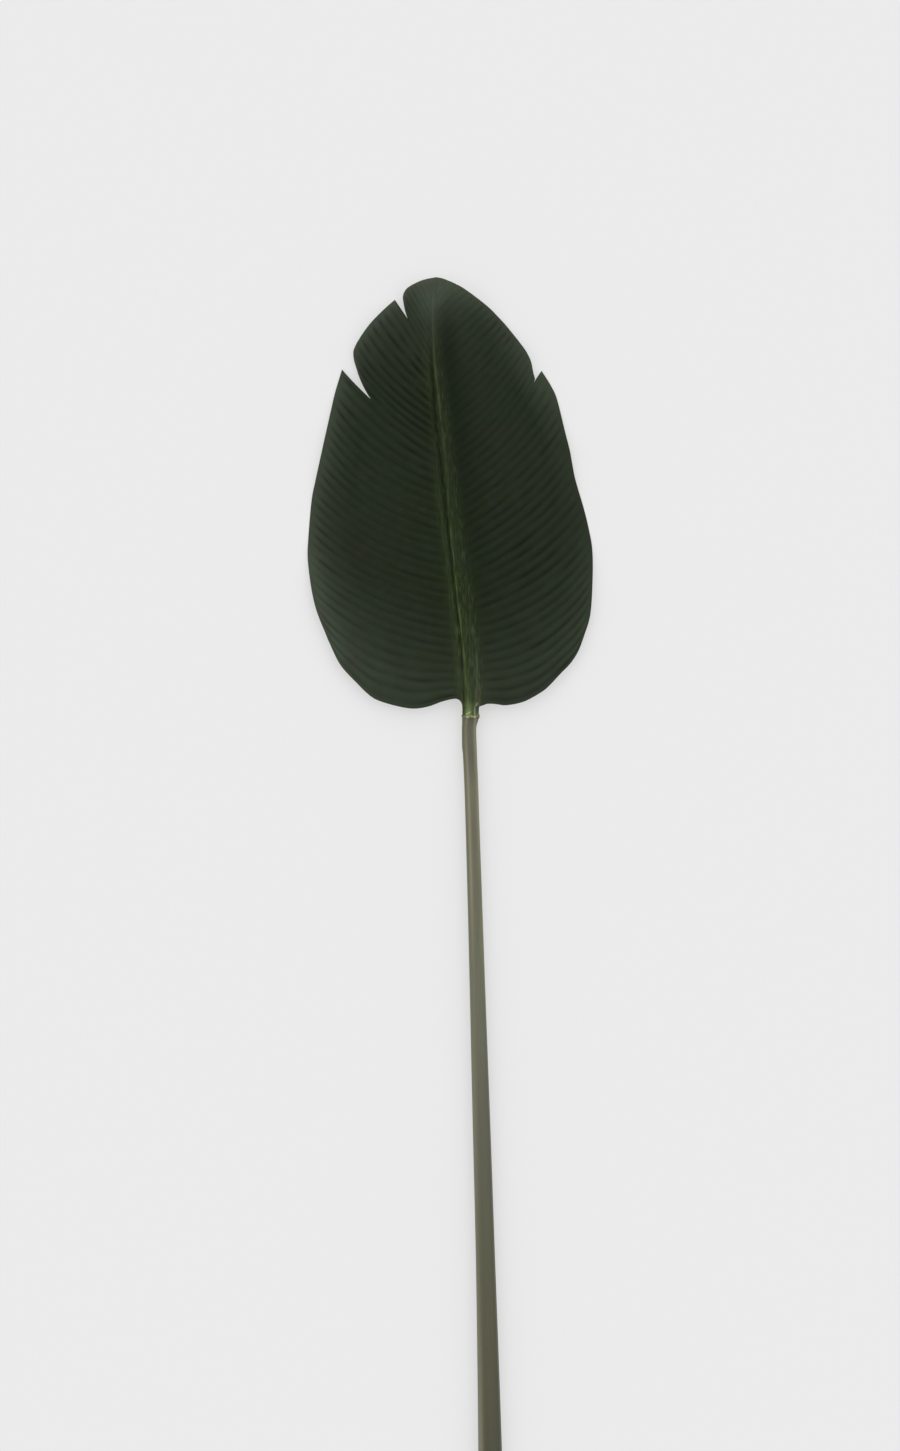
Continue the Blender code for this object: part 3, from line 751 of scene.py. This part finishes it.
def openMouth(leaf):
    # takes the wall off the collar's mouth and sinks a blind bore there for the stalk
    bpy.ops.object.mode_set(mode="OBJECT")
    corners = leaf.data.vertices
    selectOnly(leaf, "polygons", lambda face: all(abs(corners[n].co.y) < 1e-6 for n in face.vertices))
    bpy.ops.object.mode_set(mode="EDIT")
    bpy.ops.mesh.select_mode(type="FACE")
    bpy.ops.mesh.delete(type="FACE")
    bpy.ops.mesh.select_mode(type="EDGE")
    bpy.ops.mesh.select_non_manifold()
    centre = Vector((rib["line"][0][0], 0, collar["height"])) * mm
    shrink = collar["boreRadius"] / (collar["lipRadius"] - collar["edge"])
    bpy.ops.mesh.extrude_edges_move()
    bpy.ops.transform.resize(value=(shrink, 1, shrink), center_override=centre)
    inward = (0, collar["boreDepth"] * mm, 0)
    bpy.ops.mesh.extrude_edges_move(TRANSFORM_OT_translate={"value": inward})
    bpy.ops.mesh.edge_face_add()
    bpy.ops.mesh.select_mode(type="VERT")
    bpy.ops.mesh.select_all(action="SELECT")
    bpy.ops.mesh.normals_make_consistent(inside=False)
    bpy.ops.object.mode_set(mode="OBJECT")


def makeLeafBlade():
    sheets = [layRib()]
    for side in ("left", "right"):
        sheets += [layLobe(side, number) for number in range(len(lobeRows(side)))]
    bpy.ops.object.select_all(action="DESELECT")
    for sheet in sheets:
        sheet.select_set(True)
    bpy.context.view_layer.objects.active = sheets[0]
    bpy.ops.object.join()
    leaf = bpy.context.object
    leaf.name = leaf.data.name = "leafBlade"
    giveUnderside(leaf)
    openMouth(leaf)
    # the joint's place in the frame: the blade's left edge and tip lie where the solid's do
    left = min(corner.co.x for corner in leaf.data.vertices)
    shift = Vector((bladeLow.x - left, bladeHigh.y - tip.y * mm, 0))
    leaf.location = shift
    bpy.ops.object.transform_apply(location=True)
    keepInBox(leaf, bladeLow, bladeHigh)
    bpy.ops.object.shade_smooth_by_angle(angle=math.radians(blade["smoothBelow"]))
    print(f"leaf blade: {len(leaf.data.polygons)} faces")
    return leaf, shift


leafBlade, shift = makeLeafBlade()


# The stalk

stalk = {
    "line": [
        (1.15, 12), (1.15, 8), (1.15, 4), (1.1, 0), (0.57, -4), (0.02, -8),
        (-0.1, -12), (-0.03, -17), (0.18, -24), (0.72, -35), (1.78, -60),
        (2.9, -95), (4.2, -137), (5.75, -188), (7.2, -238), (10.2, -339),
        (13.2, -440), (15.85, -541), (17.85, -629.4),
    ],
    "start": 6.3,          # along the line: the end that sits in the collar
    "sides": 240,
    "ringCuts": (9, 25),   # ten rings of faces, then twenty-six for each of them
    "crowding": 1.35,      # loops are closer together near the joint
    "height": [(0, 8.5), (629.4, 9)],  # of the axis above the floor
    "radii": [
        (-5.7, 5.9), (0.3, 5.9), (0.9, 7), (2.5, 6.88), (4.2, 6.6), (6, 6.32), (8, 6.06),
        (11, 5.96), (17, 6), (24, 6.1), (31, 6), (36, 5.93), (61.5, 5.88),
        (95, 5.9), (137, 6.07), (188, 6.33), (238, 6.62), (289, 7.05), (339, 7.42),
        (390, 7.72), (440, 8), (491, 8.48), (541, 9.07), (592, 9.68), (612, 9.93),
        (629.4, 10.1),
    ],
    "stepLeft": 0.2,       # the left side narrows here, where the first growth ends
    "stepPlace": (26, 32),
    "stepTop": (5, 4),     # where the wider first growth begins, and over what length
    "flutes": 12,
    "fluteDepth": 0.035,   # share of the radius
    "channelMiddle": [(0, 1), (137, 1), (289, 0.6), (629.4, 0.4)],
    "channelHalf": [(0, 3.9), (137, 3.8), (629.4, 5.6)],
    "channelDepth": [(0, 1), (137, 0.9), (289, 0.8), (629.4, 1.1)],
    "channelWall": 1.25,   # how steep its sides are
    "channelStart": (-0.5, 4),     # below the joint, and over what length it deepens
    "channelPaint": 1.4,   # its painted shade is this much fuller than the channel
    "upperSide": (3, 4, 0.5),      # how soon the channel, then the painted highlights, reach the top
    # the cut end: its rim's bevel, then the size and depth of each step of its face
    "cutBevel": 0.6,
    "cutSteps": [(0.94, -0.71), (0.94, 0), (0.93, 0.3), (0.5, 0.15), (0.3, -0.1)],
    "smoothBelow": 40,     # degrees
    # painted highlights along the left and right shoulder, and painted shade on the floor of the
    # channel
    "leftHighlight": [(0, -3.3), (61, -2.8), (137, -2.9), (188, -3.5), (289, -5.2),
                  (629.4, -8)],
    "leftWidth": [(0, 1.2), (137, 1.4), (289, 2), (629.4, 2.3)],
    "leftStrength": [(0, 0.5), (10, 0.5), (61, 1), (137, 0.9), (188, 0.4),
                     (240, 0.35), (289, 0.55), (350, 0.6), (440, 0.45), (629.4, 0.85)],
    "rightHighlight": [(0, 4.4), (61, 5.2), (137, 4.9), (240, 5.3), (289, 5.5)],
    "rightWidth": [(0, 1), (61, 1.3), (289, 1.6)],
    "rightStrength": [(0, 1), (50, 0.9), (62, 1), (95, 0.95), (137, 0.2),
                      (188, 0.35), (240, 0), (289, 0)],
    "channelShadeStrength": [(0, 1), (30, 0.95), (61, 0.25), (95, 0.4), (137, 0.4), (188, 0.2),
                     (289, 0.1), (629.4, 0.1)],
}

stalkMarks = ["below", "leftHighlight", "rightHighlight", "channelShade"]
stalkTrack = makeTrack(stalk["line"])


def stalkSpot(turn, share):
    # a corner of the stalk: turn 0 is its right side and a quarter turn its top
    long = trackLength(stalkTrack) - stalk["start"]
    distance = stalk["start"] + long * share ** stalk["crowding"]
    middle = trackAt(stalkTrack, distance)[0]
    below = -middle.y
    radius = lookUp(stalk["radii"], below)
    x, z = math.cos(turn), math.sin(turn)
    stepStart, stepEnd = stalk["stepPlace"]
    before = 1 - eased((below - stepStart) / (stepEnd - stepStart))
    top, growth = stalk["stepTop"]
    radius += stalk["stepLeft"] * before * eased(-x) * eased((below - top) / growth)
    flutes = 0.5 - 0.5 * math.cos(stalk["flutes"] * turn)
    reach = radius * (1 - stalk["fluteDepth"] * flutes)
    fromChannel = reach * x - lookUp(stalk["channelMiddle"], below)
    fromChannel /= lookUp(stalk["channelHalf"], below)
    start, growth = stalk["channelStart"]
    channelUp, paleUp, paleBase = stalk["upperSide"]
    channel = eased((1 - abs(fromChannel)) * stalk["channelWall"]) * eased(z * channelUp)
    reach -= lookUp(stalk["channelDepth"], below) * channel * eased((below - start) / growth)
    offset = reach * x
    height = lookUp(stalk["height"], below) + reach * z
    top = eased(z * paleUp + paleBase)
    # painted highlights along the left and right shoulders, on the upper side only
    left = bump((offset - lookUp(stalk["leftHighlight"], below)) / lookUp(stalk["leftWidth"], below))
    right = bump((offset - lookUp(stalk["rightHighlight"], below)) / lookUp(stalk["rightWidth"], below))
    return {
        "place": Vector((middle.x + offset, middle.y, max(0, height))), "below": below,
        "leftHighlight": left * top * lookUp(stalk["leftStrength"], below),
        "rightHighlight": right * top * lookUp(stalk["rightStrength"], below),
        # painted shade on the channel's floor
        "channelShade": (eased(stalk["channelPaint"] * channel)
                        * lookUp(stalk["channelShadeStrength"], below)),
    }


def isUpright(piece, edge):
    a, b = (piece.data.vertices[n].co for n in edge.vertices)
    return abs(a.z - b.z) > 1e-4


def makeLeafStalk():
    bpy.ops.object.select_all(action="DESELECT")
    bpy.ops.mesh.primitive_cylinder_add(vertices=stalk["sides"], radius=1, depth=1)
    piece = bpy.context.object
    piece.name = piece.data.name = "leafStalk"
    for cuts in stalk["ringCuts"]:
        selectOnly(piece, "edges", lambda edge: isUpright(piece, edge))
        bpy.context.tool_settings.mesh_select_mode = (False, True, False)   # edges alone
        bpy.ops.object.mode_set(mode="EDIT")
        bpy.ops.mesh.subdivide(number_cuts=cuts)
        bpy.ops.object.mode_set(mode="OBJECT")
    spots = []
    for corner in piece.data.vertices:
        spot = stalkSpot(math.atan2(corner.co.y, corner.co.x), 0.5 - corner.co.z)
        corner.co = spot["place"] * mm
        spots.append(spot)
    for mark in stalkMarks:
        addMark(piece, mark, [spot[mark] for spot in spots])
    # the cut end gets a worn rim and a slightly sunk face
    (endX, endY), endHeight = stalk["line"][-1], stalk["height"][-1][1]
    selectOnly(piece, "polygons",
               lambda face: len(face.vertices) > 4 and face.center.y < endY / 2 * mm)
    bpy.ops.object.mode_set(mode="EDIT")
    bpy.ops.mesh.select_mode(type="FACE")
    bpy.ops.transform.translate(value=(0, stalk["cutBevel"] * mm, 0))
    for size, inward in stalk["cutSteps"]:
        bpy.ops.mesh.extrude_region_move(TRANSFORM_OT_translate={"value": (0, inward * mm, 0)})
        bpy.ops.transform.resize(value=(size, 1, size),
                                 center_override=Vector((endX, endY, endHeight)) * mm)
    bpy.ops.mesh.select_all(action="SELECT")
    bpy.ops.mesh.normals_make_consistent(inside=False)
    bpy.ops.object.mode_set(mode="OBJECT")
    piece.location = shift
    bpy.ops.object.transform_apply(location=True)
    keepInBox(piece, cadLow, cadHigh)
    bpy.ops.object.shade_smooth_by_angle(angle=math.radians(stalk["smoothBelow"]))
    print(f"stalk: {len(piece.data.polygons)} faces")
    return piece


leafStalk = makeLeafStalk()


# The bead of resin round the collar's mouth: a thin uneven ring with lumps on it

bead = {
    "radius": 7,
    "thickness": 0.7,
    "ringFaces": (144, 16),        # round the mouth, and round the ring itself
    "ringPale": 0.3,
    "lumpFaces": (32, 20),
    "stretch": 1.6,        # along the stalk
    "place": 0.3,          # its middle, along y
    "uneven": 0.25,
    "unevenSize": 2.5,
    # degrees clockwise from the top, place along y, half sizes round and along the mouth and
    # outwards, turn in degrees, and how pale
    "lumps": [
        (-17, 3, 2.6, 0.85, 0.8, 32, 0.8), (-19, 0.2, 1.8, 1.2, 1, 0, 1),
        (7, 0.3, 0.85, 1, 0.8, 0, 0.85), (28, 0.1, 1.7, 1.3, 1, 0, 0.7),
        (63, 1, 2, 2.6, 1.1, 10, 0.2), (-62, 0, 1.9, 1.5, 0.6, 15, 0),
        (118, -0.2, 2.2, 1.1, 0.7, -12, 0.5), (165, 0.3, 1.5, 1.3, 0.6, 20, 0.7),
        (-125, -0.1, 2.4, 1, 0.7, 8, 0.4),
    ],
}


def lumpyPiece(pale):
    # roughens the piece just added, and marks how pale it is
    piece = bpy.context.object
    bpy.ops.object.transform_apply(location=True, rotation=True, scale=True)
    for corner in piece.data.vertices:
        lump = noise.noise(corner.co / (bead["unevenSize"] * mm))
        corner.co += corner.normal * lump * bead["uneven"] * mm
    addMark(piece, "pale", [pale] * len(piece.data.vertices))
    return piece


def makeJointBead():
    bpy.ops.object.select_all(action="DESELECT")
    around, across = bead["ringFaces"]
    bpy.ops.mesh.primitive_torus_add(
        major_segments=around, minor_segments=across, major_radius=bead["radius"] * mm,
        minor_radius=bead["thickness"] * mm, rotation=(math.pi / 2, 0, 0),
    )
    bpy.context.object.scale.z = bead["stretch"]
    pieces = [lumpyPiece(bead["ringPale"])]
    segments, rings = bead["lumpFaces"]
    for angle, along, halfRound, halfAlong, halfOut, turn, pale in bead["lumps"]:
        angle = math.radians(angle)
        bpy.ops.mesh.primitive_uv_sphere_add(segments=segments, ring_count=rings, radius=mm)
        lump = bpy.context.object
        lump.location = Vector((math.sin(angle) * bead["radius"], along - bead["place"],
                                math.cos(angle) * bead["radius"])) * mm
        lump.scale = (halfRound, halfAlong, halfOut)
        lump.rotation_mode = "ZYX"
        lump.rotation_euler = (0, angle, math.radians(turn))
        pieces.append(lumpyPiece(pale))
    for piece in pieces:
        piece.select_set(True)
    bpy.context.view_layer.objects.active = pieces[0]
    bpy.ops.object.join()
    piece = bpy.context.object
    piece.name = piece.data.name = "jointBead"
    centre = Vector((rib["line"][0][0], bead["place"], collar["height"])) * mm
    piece.location = shift + centre
    bpy.ops.object.transform_apply(location=True)
    bpy.ops.object.shade_smooth()
    print(f"bead: {len(piece.data.polygons)} faces")
    return piece


jointBead = makeJointBead()


# Materials

def hexColour(code):
    # an sRGB hex colour as the linear values that shaders take
    channels = [int(code[n:n + 2], 16) / 255 for n in (1, 3, 5)]
    linear = [c / 12.92 if c <= 0.04045 else ((c + 0.055) / 1.055) ** 2.4 for c in channels]
    return [*linear, 1]


def setInputs(node, inputs):
    # gives a node's inputs their links, values or hex colours
    for socket, value in inputs.items():
        if isinstance(value, bpy.types.NodeSocket):
            node.id_data.links.new(value, node.inputs[socket])
        else:
            value = hexColour(value) if isinstance(value, str) else value
            node.inputs[socket].default_value = value


def addNode(tree, kind, inputs=None, output=0, stops=(), **settings):
    # adds a node with its settings, inputs and colour stops, and returns one of its outputs
    node = tree.nodes.new("ShaderNode" + kind)
    for name, value in settings.items():
        setattr(node, name, value)
    setInputs(node, inputs or {})
    for number, (place, colour) in enumerate(stops):
        elements = node.color_ramp.elements
        if number == 0:
            elements.remove(elements[-1])
            elements[0].position = place
        element = elements[0] if number == 0 else elements.new(place)
        element.color = hexColour(colour)
    return node.outputs[output]


def newMaterial(name):
    # a new material, what adds nodes to it, and its shader
    material = bpy.data.materials.new(name)
    material.use_nodes = True
    tree = material.node_tree
    return material, functools.partial(addNode, tree), tree.nodes["Principled BSDF"]


upperFilm = {
    "reachColours": [(0, "#1D2610"), (0.06, "#1B2410"), (0.14, "#1B2312"), (0.4, "#1D2416"),
                     (0.75, "#1F2719"), (1, "#22291C")],
    # painted sheen: the paler colours at the margins, foot and tip, in patches of this size
    "sheenColours": ("#424C3E", "#484D42"),
    "sheenSize": 18,
    # place in the pattern, size, colour and strength
    "patches": [((0, 0, 0), 55, "#14221A", 0.35), ((0, 0, 7), 55, "#221F14", 0.3),
                ((4, 0, 0), 11, "#15260C", 0.5), ((9, 0, 0), 11, "#2B2C28", 0.3)],
    # painted shade along the sunk veins: its colour and strength
    "valleyColour": "#0B1206",
    "valleyStrength": 0.38,
    "rowSpacing": 3.75,    # from vein to vein
    "striationSpacing": 0.9,
    "striationLength": 30,
    "striationColour": "#2B3422",
    "striationStrength": 0.3,
    "roughness": (0.44, 0.58),
    "specular": 0.07,
    "bump": (0.35, 0.15),  # strength, and depth in millimetres
    "grainSize": 0.5,
    "strandWidth": 1.2,    # strands along the rib
    "strandLength": 16,
    # painted shade right of the rib, in the groove and in the slit; painted highlights on the raised
    # line and its paler end near the mouth, on the ridge and along the rib's edge
    "marks": [("shade", "#0A1406", 0.58), ("ribBand", "#3A4926", 0.75),
              ("ribRidge", "#38451F", 0.85), ("collarGreen", "#4E5A37", 0.9),
              ("ribGroove", "#0A1300", 1), ("footLight", "#465239", 0.6),
              ("ribLight", "#48562B", 0.95), ("ribPale", "#8B9868", 0.85),
              ("scar", "#4A4439", 0.6), ("slitRim", "#8D947A", 0.9), ("slit", "#474741", 0.9)],
    "strandMarks": ["ribBand", "ribLight", "ribRidge"],
    "crinkleSize": (0.8, 9),
    "crinkleColours": ("#131D08", "#4D5B3C"),
    "crinkleStrength": 0.22,
}


def leafFilm(name, look):
    # Polyethylene film moulded over cloth: a dull, slightly waxy sheen over printed green,
    # with the mould's fine lines along the veins
    material, add, shader = newMaterial(name)
    mark = {key: add("Attribute", output="Fac", attribute_name=key) for key in leafMarks}
    place = add("TexCoord", output="Object")
    upward = add("SeparateXYZ", {0: place}, output="Y")

    def drawnOut(across, along, scales, detail=2, seed=0):
        # noise that is drawn out along a direction
        plain = add("CombineXYZ", {0: across, 1: along, 2: seed})
        stretched = add("VectorMath", {0: plain, 1: (*scales, 1)}, operation="MULTIPLY")
        return add("TexNoise", {"Vector": stretched, "Scale": 1, "Detail": detail})

    # the layers of colour, from the lowest to the top one, each with its mask
    layers = []
    for offset, size, patchColour, strength in look["patches"]:
        moved = add("Mapping", {"Vector": place, "Location": offset})
        patch = add("TexNoise", {"Vector": moved, "Scale": 1 / (size * mm), "Detail": 3,
                                 "Roughness": 0.6})
        layers.append((add("MapRange", {0: patch, 1: 0.45, 2: 0.7, 4: strength}), patchColour))
    # painted sheen: paler, greyer patches where its mark is high
    patch = add("TexNoise", {"Vector": place, "Scale": 1 / (look["sheenSize"] * mm), "Detail": 2})
    patchy = add("MapRange", {0: patch, 1: 0.3, 2: 0.7, 3: 0.8, 4: 1.2})
    greener, greyer = look["sheenColours"]
    pale = add("ValToRGB", {0: patch}, stops=[(0.4, greyer), (0.6, greener)])
    mask = add("Math", {0: patchy, 1: mark["faded"]}, operation="MULTIPLY", use_clamp=True)
    layers.append((mask, pale))
    # fine lines along the veins
    scales = look["rowSpacing"] / look["striationSpacing"], 1 / look["striationLength"]
    streaks = drawnOut(mark["vein"], mark["alongVein"], scales)
    mask = add("MapRange", {0: streaks, 1: 0.4, 2: 0.75, 4: look["striationStrength"]})
    layers.append((mask, look["striationColour"]))
    # painted shade along each sunk vein (the underside's look gives it a paler colour)
    turn = add("Math", {0: mark["vein"], 1: math.pi}, operation="MULTIPLY")
    wave = add("Math", {0: turn}, operation="COSINE")
    valley = add("Math", {0: wave, 1: -0.5, 2: 0.5}, operation="MULTIPLY_ADD")
    valley = add("Math", {0: valley, 1: 2}, operation="POWER")
    strength = add("Math", {0: mark["stripe"], 1: look["valleyStrength"]}, operation="MULTIPLY")
    mask = add("Math", {0: valley, 1: strength}, operation="MULTIPLY", use_clamp=True)
    layers.append((mask, look["valleyColour"]))
    # the rib's marks, the longer ones broken into strands
    scales = 1 / look["strandWidth"], 1 / (look["strandLength"] * mm)
    strands = drawnOut(mark["alongVein"], upward, scales)
    strands = add("MapRange", {0: strands, 1: 0.35, 2: 0.65, 3: 0.1, 4: 1.25})
    for key, markColour, strength in look["marks"]:
        mask = add("Math", {0: mark[key], 1: strength}, operation="MULTIPLY")
        if key in look["strandMarks"]:
            mask = add("Math", {0: mask, 1: strands}, operation="MULTIPLY")
        layers.append((mask, markColour))
    # crinkles: short dashes, darker and lighter
    wide, long = look["crinkleSize"]
    dashes = drawnOut(mark["alongVein"], upward, (1 / wide, 1 / (long * mm)), detail=1, seed=5)
    for dashColour, full in zip(look["crinkleColours"], (0.25, 0.75)):
        mask = add("MapRange", {0: dashes, 1: 0.5, 2: full, 4: look["crinkleStrength"] * 2})
        mask = add("Math", {0: mask, 1: mark["crinkle"]}, operation="MULTIPLY", use_clamp=True)
        layers.append((mask, dashColour))
    colour = add("ValToRGB", {0: mark["reach"]}, stops=look["reachColours"])
    for mask, layer in layers:
        colour = add("Mix", {0: mask, 6: colour, 7: layer}, output=2, data_type="RGBA")
    grain = add("TexNoise", {"Vector": place, "Scale": 1 / (look["grainSize"] * mm), "Detail": 2})
    relief = add("Math", {0: streaks, 1: 1, 2: grain}, operation="MULTIPLY_ADD")
    smooth, rough = look["roughness"]
    strength, depth = look["bump"]
    setInputs(shader, {
        "Base Color": colour,
        "Roughness": add("MapRange", {0: streaks, 1: 0.3, 2: 0.7, 3: smooth, 4: rough}),
        "Specular IOR Level": look["specular"],
        "Normal": add("Bump", {"Height": relief, "Strength": strength, "Distance": depth * mm}),
    })
    return material


lowerFilm = {
    "reachColours": [(0, "#5F6B4C"), (0.1, "#56634A"), (0.6, "#515D48"), (1, "#5C6652")],
    # painted sheen: the paler colours where the sheen mark is high, in patches of this size
    "sheenColours": ("#5B6450", "#62634F"),
    "sheenSize": 25,
    "patches": [((3, 0, 0), 60, "#48564A", 0.4), ((3, 0, 7), 60, "#62634B", 0.3),
                ((6, 0, 0), 12, "#57654A", 0.4)],
    "valleyColour": "#667255",
    "valleyStrength": 0.4,
    "rowSpacing": 3.75,    # from vein to vein
    "striationSpacing": 0.9,
    "striationLength": 30,
    "striationColour": "#6E785F",
    "striationStrength": 0.35,
    "roughness": (0.54, 0.68),
    "specular": 0.25,
    "bump": (0.35, 0.15),
    "grainSize": 0.6,
    "strandWidth": 1.3,
    "strandLength": 45,
    "marks": [],
    "strandMarks": [],
    "crinkleSize": (0.9, 6),
    "crinkleColours": ("#4A5439", "#727C5F"),
    "crinkleStrength": 0.15,
}

stalkFinish = {
    # millimetres below the joint
    "lengthColours": [(0, "#5D5B46"), (30, "#615F49"), (61, "#6C6A55"), (95, "#686650"),
                      (137, "#696852"), (238, "#636551"), (339, "#575847"),
                      (440, "#50513C"), (541, "#4B4A35"), (629.4, "#41412D")],
    "length": 629.4,
    # painted highlights on the shoulders, and painted shade in the channel
    "leftHighlightColour": "#7F7B64",
    "rightHighlightColour": "#7E7B61",
    "channelShadeColour": "#565446",
    "streakWidth": 0.8,
    "streakLength": 90,
    "streakColour": "#4B4B3C",
    "streakStrength": 0.35,
    "specular": 0.35,
    "roughness": (0.38, 0.55),
    "bump": (0.4, 0.2),
    "grainSize": 0.6,
}

cutFinish = {
    "bundleSize": 1.6,
    "roughness": 0.75,
    "specular": 0.25,
    "bump": (0.5, 0.2),
    "bundleColours": [(0, "#6C6852"), (0.25, "#7E7B62"), (0.45, "#A29D80"), (1, "#ABA68A")],
}

resinFinish = {
    "lumpSize": 2.2,
    "roughness": 0.4,
    "bump": (0.3, 0.3),
    "colours": [(0.25, "#4C4F2C"), (0.55, "#70724F"), (0.9, "#8A9064"), (1, "#9CA575")],
}


def stalkPlastic(look):
    # Extruded and drawn polyethylene: greyish olive with long drawn streaks and a soft gloss, with
    # painted highlights along the shoulders and painted shade in the channel
    material, add, shader = newMaterial("stalkDrawnPolyethylene")
    mark = {key: add("Attribute", output="Fac", attribute_name=key) for key in stalkMarks}
    place = add("TexCoord", output="Object")
    share = add("Math", {0: mark["below"], 1: look["length"]}, operation="DIVIDE")
    stops = [(below / look["length"], code) for below, code in look["lengthColours"]]
    colour = add("ValToRGB", {0: share}, stops=stops)
    fine, long = 1 / (look["streakWidth"] * mm), 1 / (look["streakLength"] * mm)
    stretched = add("Mapping", {"Vector": place, "Scale": (fine, long, fine)})
    streaks = add("TexNoise", {"Vector": stretched, "Scale": 1, "Detail": 3, "Roughness": 0.55})
    mask = add("MapRange", {0: streaks, 1: 0.42, 2: 0.75, 4: look["streakStrength"]})
    # the streaks, then the channel's painted shade and the shoulders' painted highlights
    layers = [(mask, look["streakColour"]), (mark["channelShade"], look["channelShadeColour"]),
              (mark["leftHighlight"], look["leftHighlightColour"]), (mark["rightHighlight"], look["rightHighlightColour"])]
    for mask, layer in layers:
        colour = add("Mix", {0: mask, 6: colour, 7: layer}, output=2, data_type="RGBA")
    grain = add("TexNoise", {"Vector": place, "Scale": 1 / (look["grainSize"] * mm)})
    relief = add("Math", {0: grain, 1: 0.3, 2: streaks}, operation="MULTIPLY_ADD")
    smooth, rough = look["roughness"]
    strength, depth = look["bump"]
    setInputs(shader, {
        "Base Color": colour,
        "Roughness": add("MapRange", {0: streaks, 1: 0.3, 2: 0.7, 3: smooth, 4: rough}),
        "Specular IOR Level": look["specular"],
        "Normal": add("Bump", {"Height": relief, "Strength": strength, "Distance": depth * mm}),
    })
    return material


def cutEnd(look):
    # The sawn end: paler, dull, with the darker dots of the fibre bundles
    material, add, shader = newMaterial("stalkSawnEnd")
    place = add("TexCoord", output="Object")
    bundles = add("TexVoronoi", {"Vector": place, "Scale": 1 / (look["bundleSize"] * mm)})
    strength, depth = look["bump"]
    setInputs(shader, {
        "Base Color": add("ValToRGB", {0: bundles}, stops=look["bundleColours"]),
        "Roughness": look["roughness"],
        "Specular IOR Level": look["specular"],
        "Normal": add("Bump", {"Height": bundles, "Strength": strength, "Distance": depth * mm}),
    })
    return material


def beadResin(look):
    # Set resin squeezed out of the joint: cream, smooth and a little waxy
    material, add, shader = newMaterial("beadSetResin")
    place = add("TexCoord", output="Object")
    lumps = add("TexNoise", {"Vector": place, "Scale": 1 / (look["lumpSize"] * mm), "Detail": 2})
    pale = add("Attribute", output="Fac", attribute_name="pale")
    varied = add("Math", {0: lumps, 1: 0.4, 2: pale}, operation="MULTIPLY_ADD")
    strength, depth = look["bump"]
    setInputs(shader, {
        "Base Color": add("ValToRGB", {0: varied}, stops=look["colours"]),
        "Roughness": look["roughness"],
        "Normal": add("Bump", {"Height": lumps, "Strength": strength, "Distance": depth * mm}),
    })
    return material


def dress(piece, materials, takesSecond):
    # the first material, with the second on the faces that take it
    piece.data.materials.clear()
    for material in materials:
        piece.data.materials.append(material)
    for face in piece.data.polygons:
        face.material_index = 1 if takesSecond(face) else 0


under = [value.value > 0.5 for value in leafBlade.data.attributes["underside"].data]
dress(leafBlade, [leafFilm("leafFilmUpper", upperFilm), leafFilm("leafFilmUnderside", lowerFilm)],
      lambda face: all(under[n] for n in face.vertices))
cutLow = min(corner.co.y for corner in leafStalk.data.vertices) + 0.5 * mm
dress(leafStalk, [stalkPlastic(stalkFinish), cutEnd(cutFinish)],
      lambda face: face.center.y < cutLow)
jointBead.data.materials.append(beadResin(resinFinish))
print("materials made")

for piece, node, slot in ((leafBlade, "leaf_blade", "leaf"), (leafStalk, "leaf_stalk", "stalk")):
    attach(piece, "root")
    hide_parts(node)
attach(jointBead, "root")


# Floor, light and camera

stage = {
    "floorSize": 14,       # metres
    "floorDrop": 0.1,
    "floorColour": "#969696",
    "floorGlow": 0.516,    # the floor is a lit table, which keeps the shadows faint
    "skyHorizon": 0.55,
    "skyZenith": 0.15,
    "sunWidth": 60,        # degrees
    "suns": [(-90, 52, 1), (90, 52, 1), (0, 52, 1)],  # azimuth and elevation in degrees, and strength
    "cameraAbove": (-16.25, -7.2),  # the photograph's middle, from the joint
    "cameraHeight": 3000,
    "leafHeight": 15,      # where the photograph's scale holds
    "photoHeight": 1451 * 0.842,   # its pixels, and millimetres a pixel
    "sensor": 36,
}


def makeFloor():
    bpy.ops.object.select_all(action="DESELECT")
    bpy.ops.mesh.primitive_plane_add(size=stage["floorSize"])
    floor = bpy.context.object
    floor.name = "floor"
    floor.location.z = -stage["floorDrop"] * mm
    # matt paper on a lit table: an even light grey, on which shadows are faint
    material, _, shader = newMaterial("floorMattPaper")
    setInputs(shader, {
        "Base Color": stage["floorColour"], "Roughness": 0.9, "Specular IOR Level": 0,
        "Emission Color": "#FFFFFF", "Emission Strength": stage["floorGlow"],
    })
    floor.data.materials.append(material)


def makeSky():
    world = bpy.data.worlds.new("softStudio")
    bpy.context.scene.world = world
    world.use_nodes = True
    add = functools.partial(addNode, world.node_tree)
    upward = add("SeparateXYZ", {0: add("TexCoord", output="Generated")}, output="Z")
    light = add("MapRange", {0: upward, 3: stage["skyHorizon"], 4: stage["skyZenith"]})
    background = world.node_tree.nodes["Background"]
    setInputs(background, {"Strength": light, "Color": "#FFFFFF"})


def makeSuns():
    # wide lamps from the left, the right and beyond the tip
    for azimuth, elevation, strength in stage["suns"]:
        bpy.ops.object.light_add(type="SUN", location=(0, 0, 2))
        sun = bpy.context.object
        sun.data.energy = strength
        sun.data.angle = math.radians(stage["sunWidth"])
        sun.rotation_euler = (math.radians(90 - elevation), 0, math.radians(180 - azimuth))


def makeCamera():
    bpy.ops.object.camera_add()
    camera = bpy.context.object
    camera.location = shift + Vector((*stage["cameraAbove"], stage["cameraHeight"])) * mm
    camera.rotation_euler = (0, 0, 0)
    camera.data.sensor_width = stage["sensor"]
    distance = stage["cameraHeight"] - stage["leafHeight"]
    camera.data.lens = stage["sensor"] * distance / stage["photoHeight"]
    camera.data.clip_end = 100
    bpy.context.scene.camera = camera


makeFloor()
makeSky()
makeSuns()
makeCamera()
bpy.context.scene.view_settings.view_transform = "Standard"
print("stage, light and camera made")
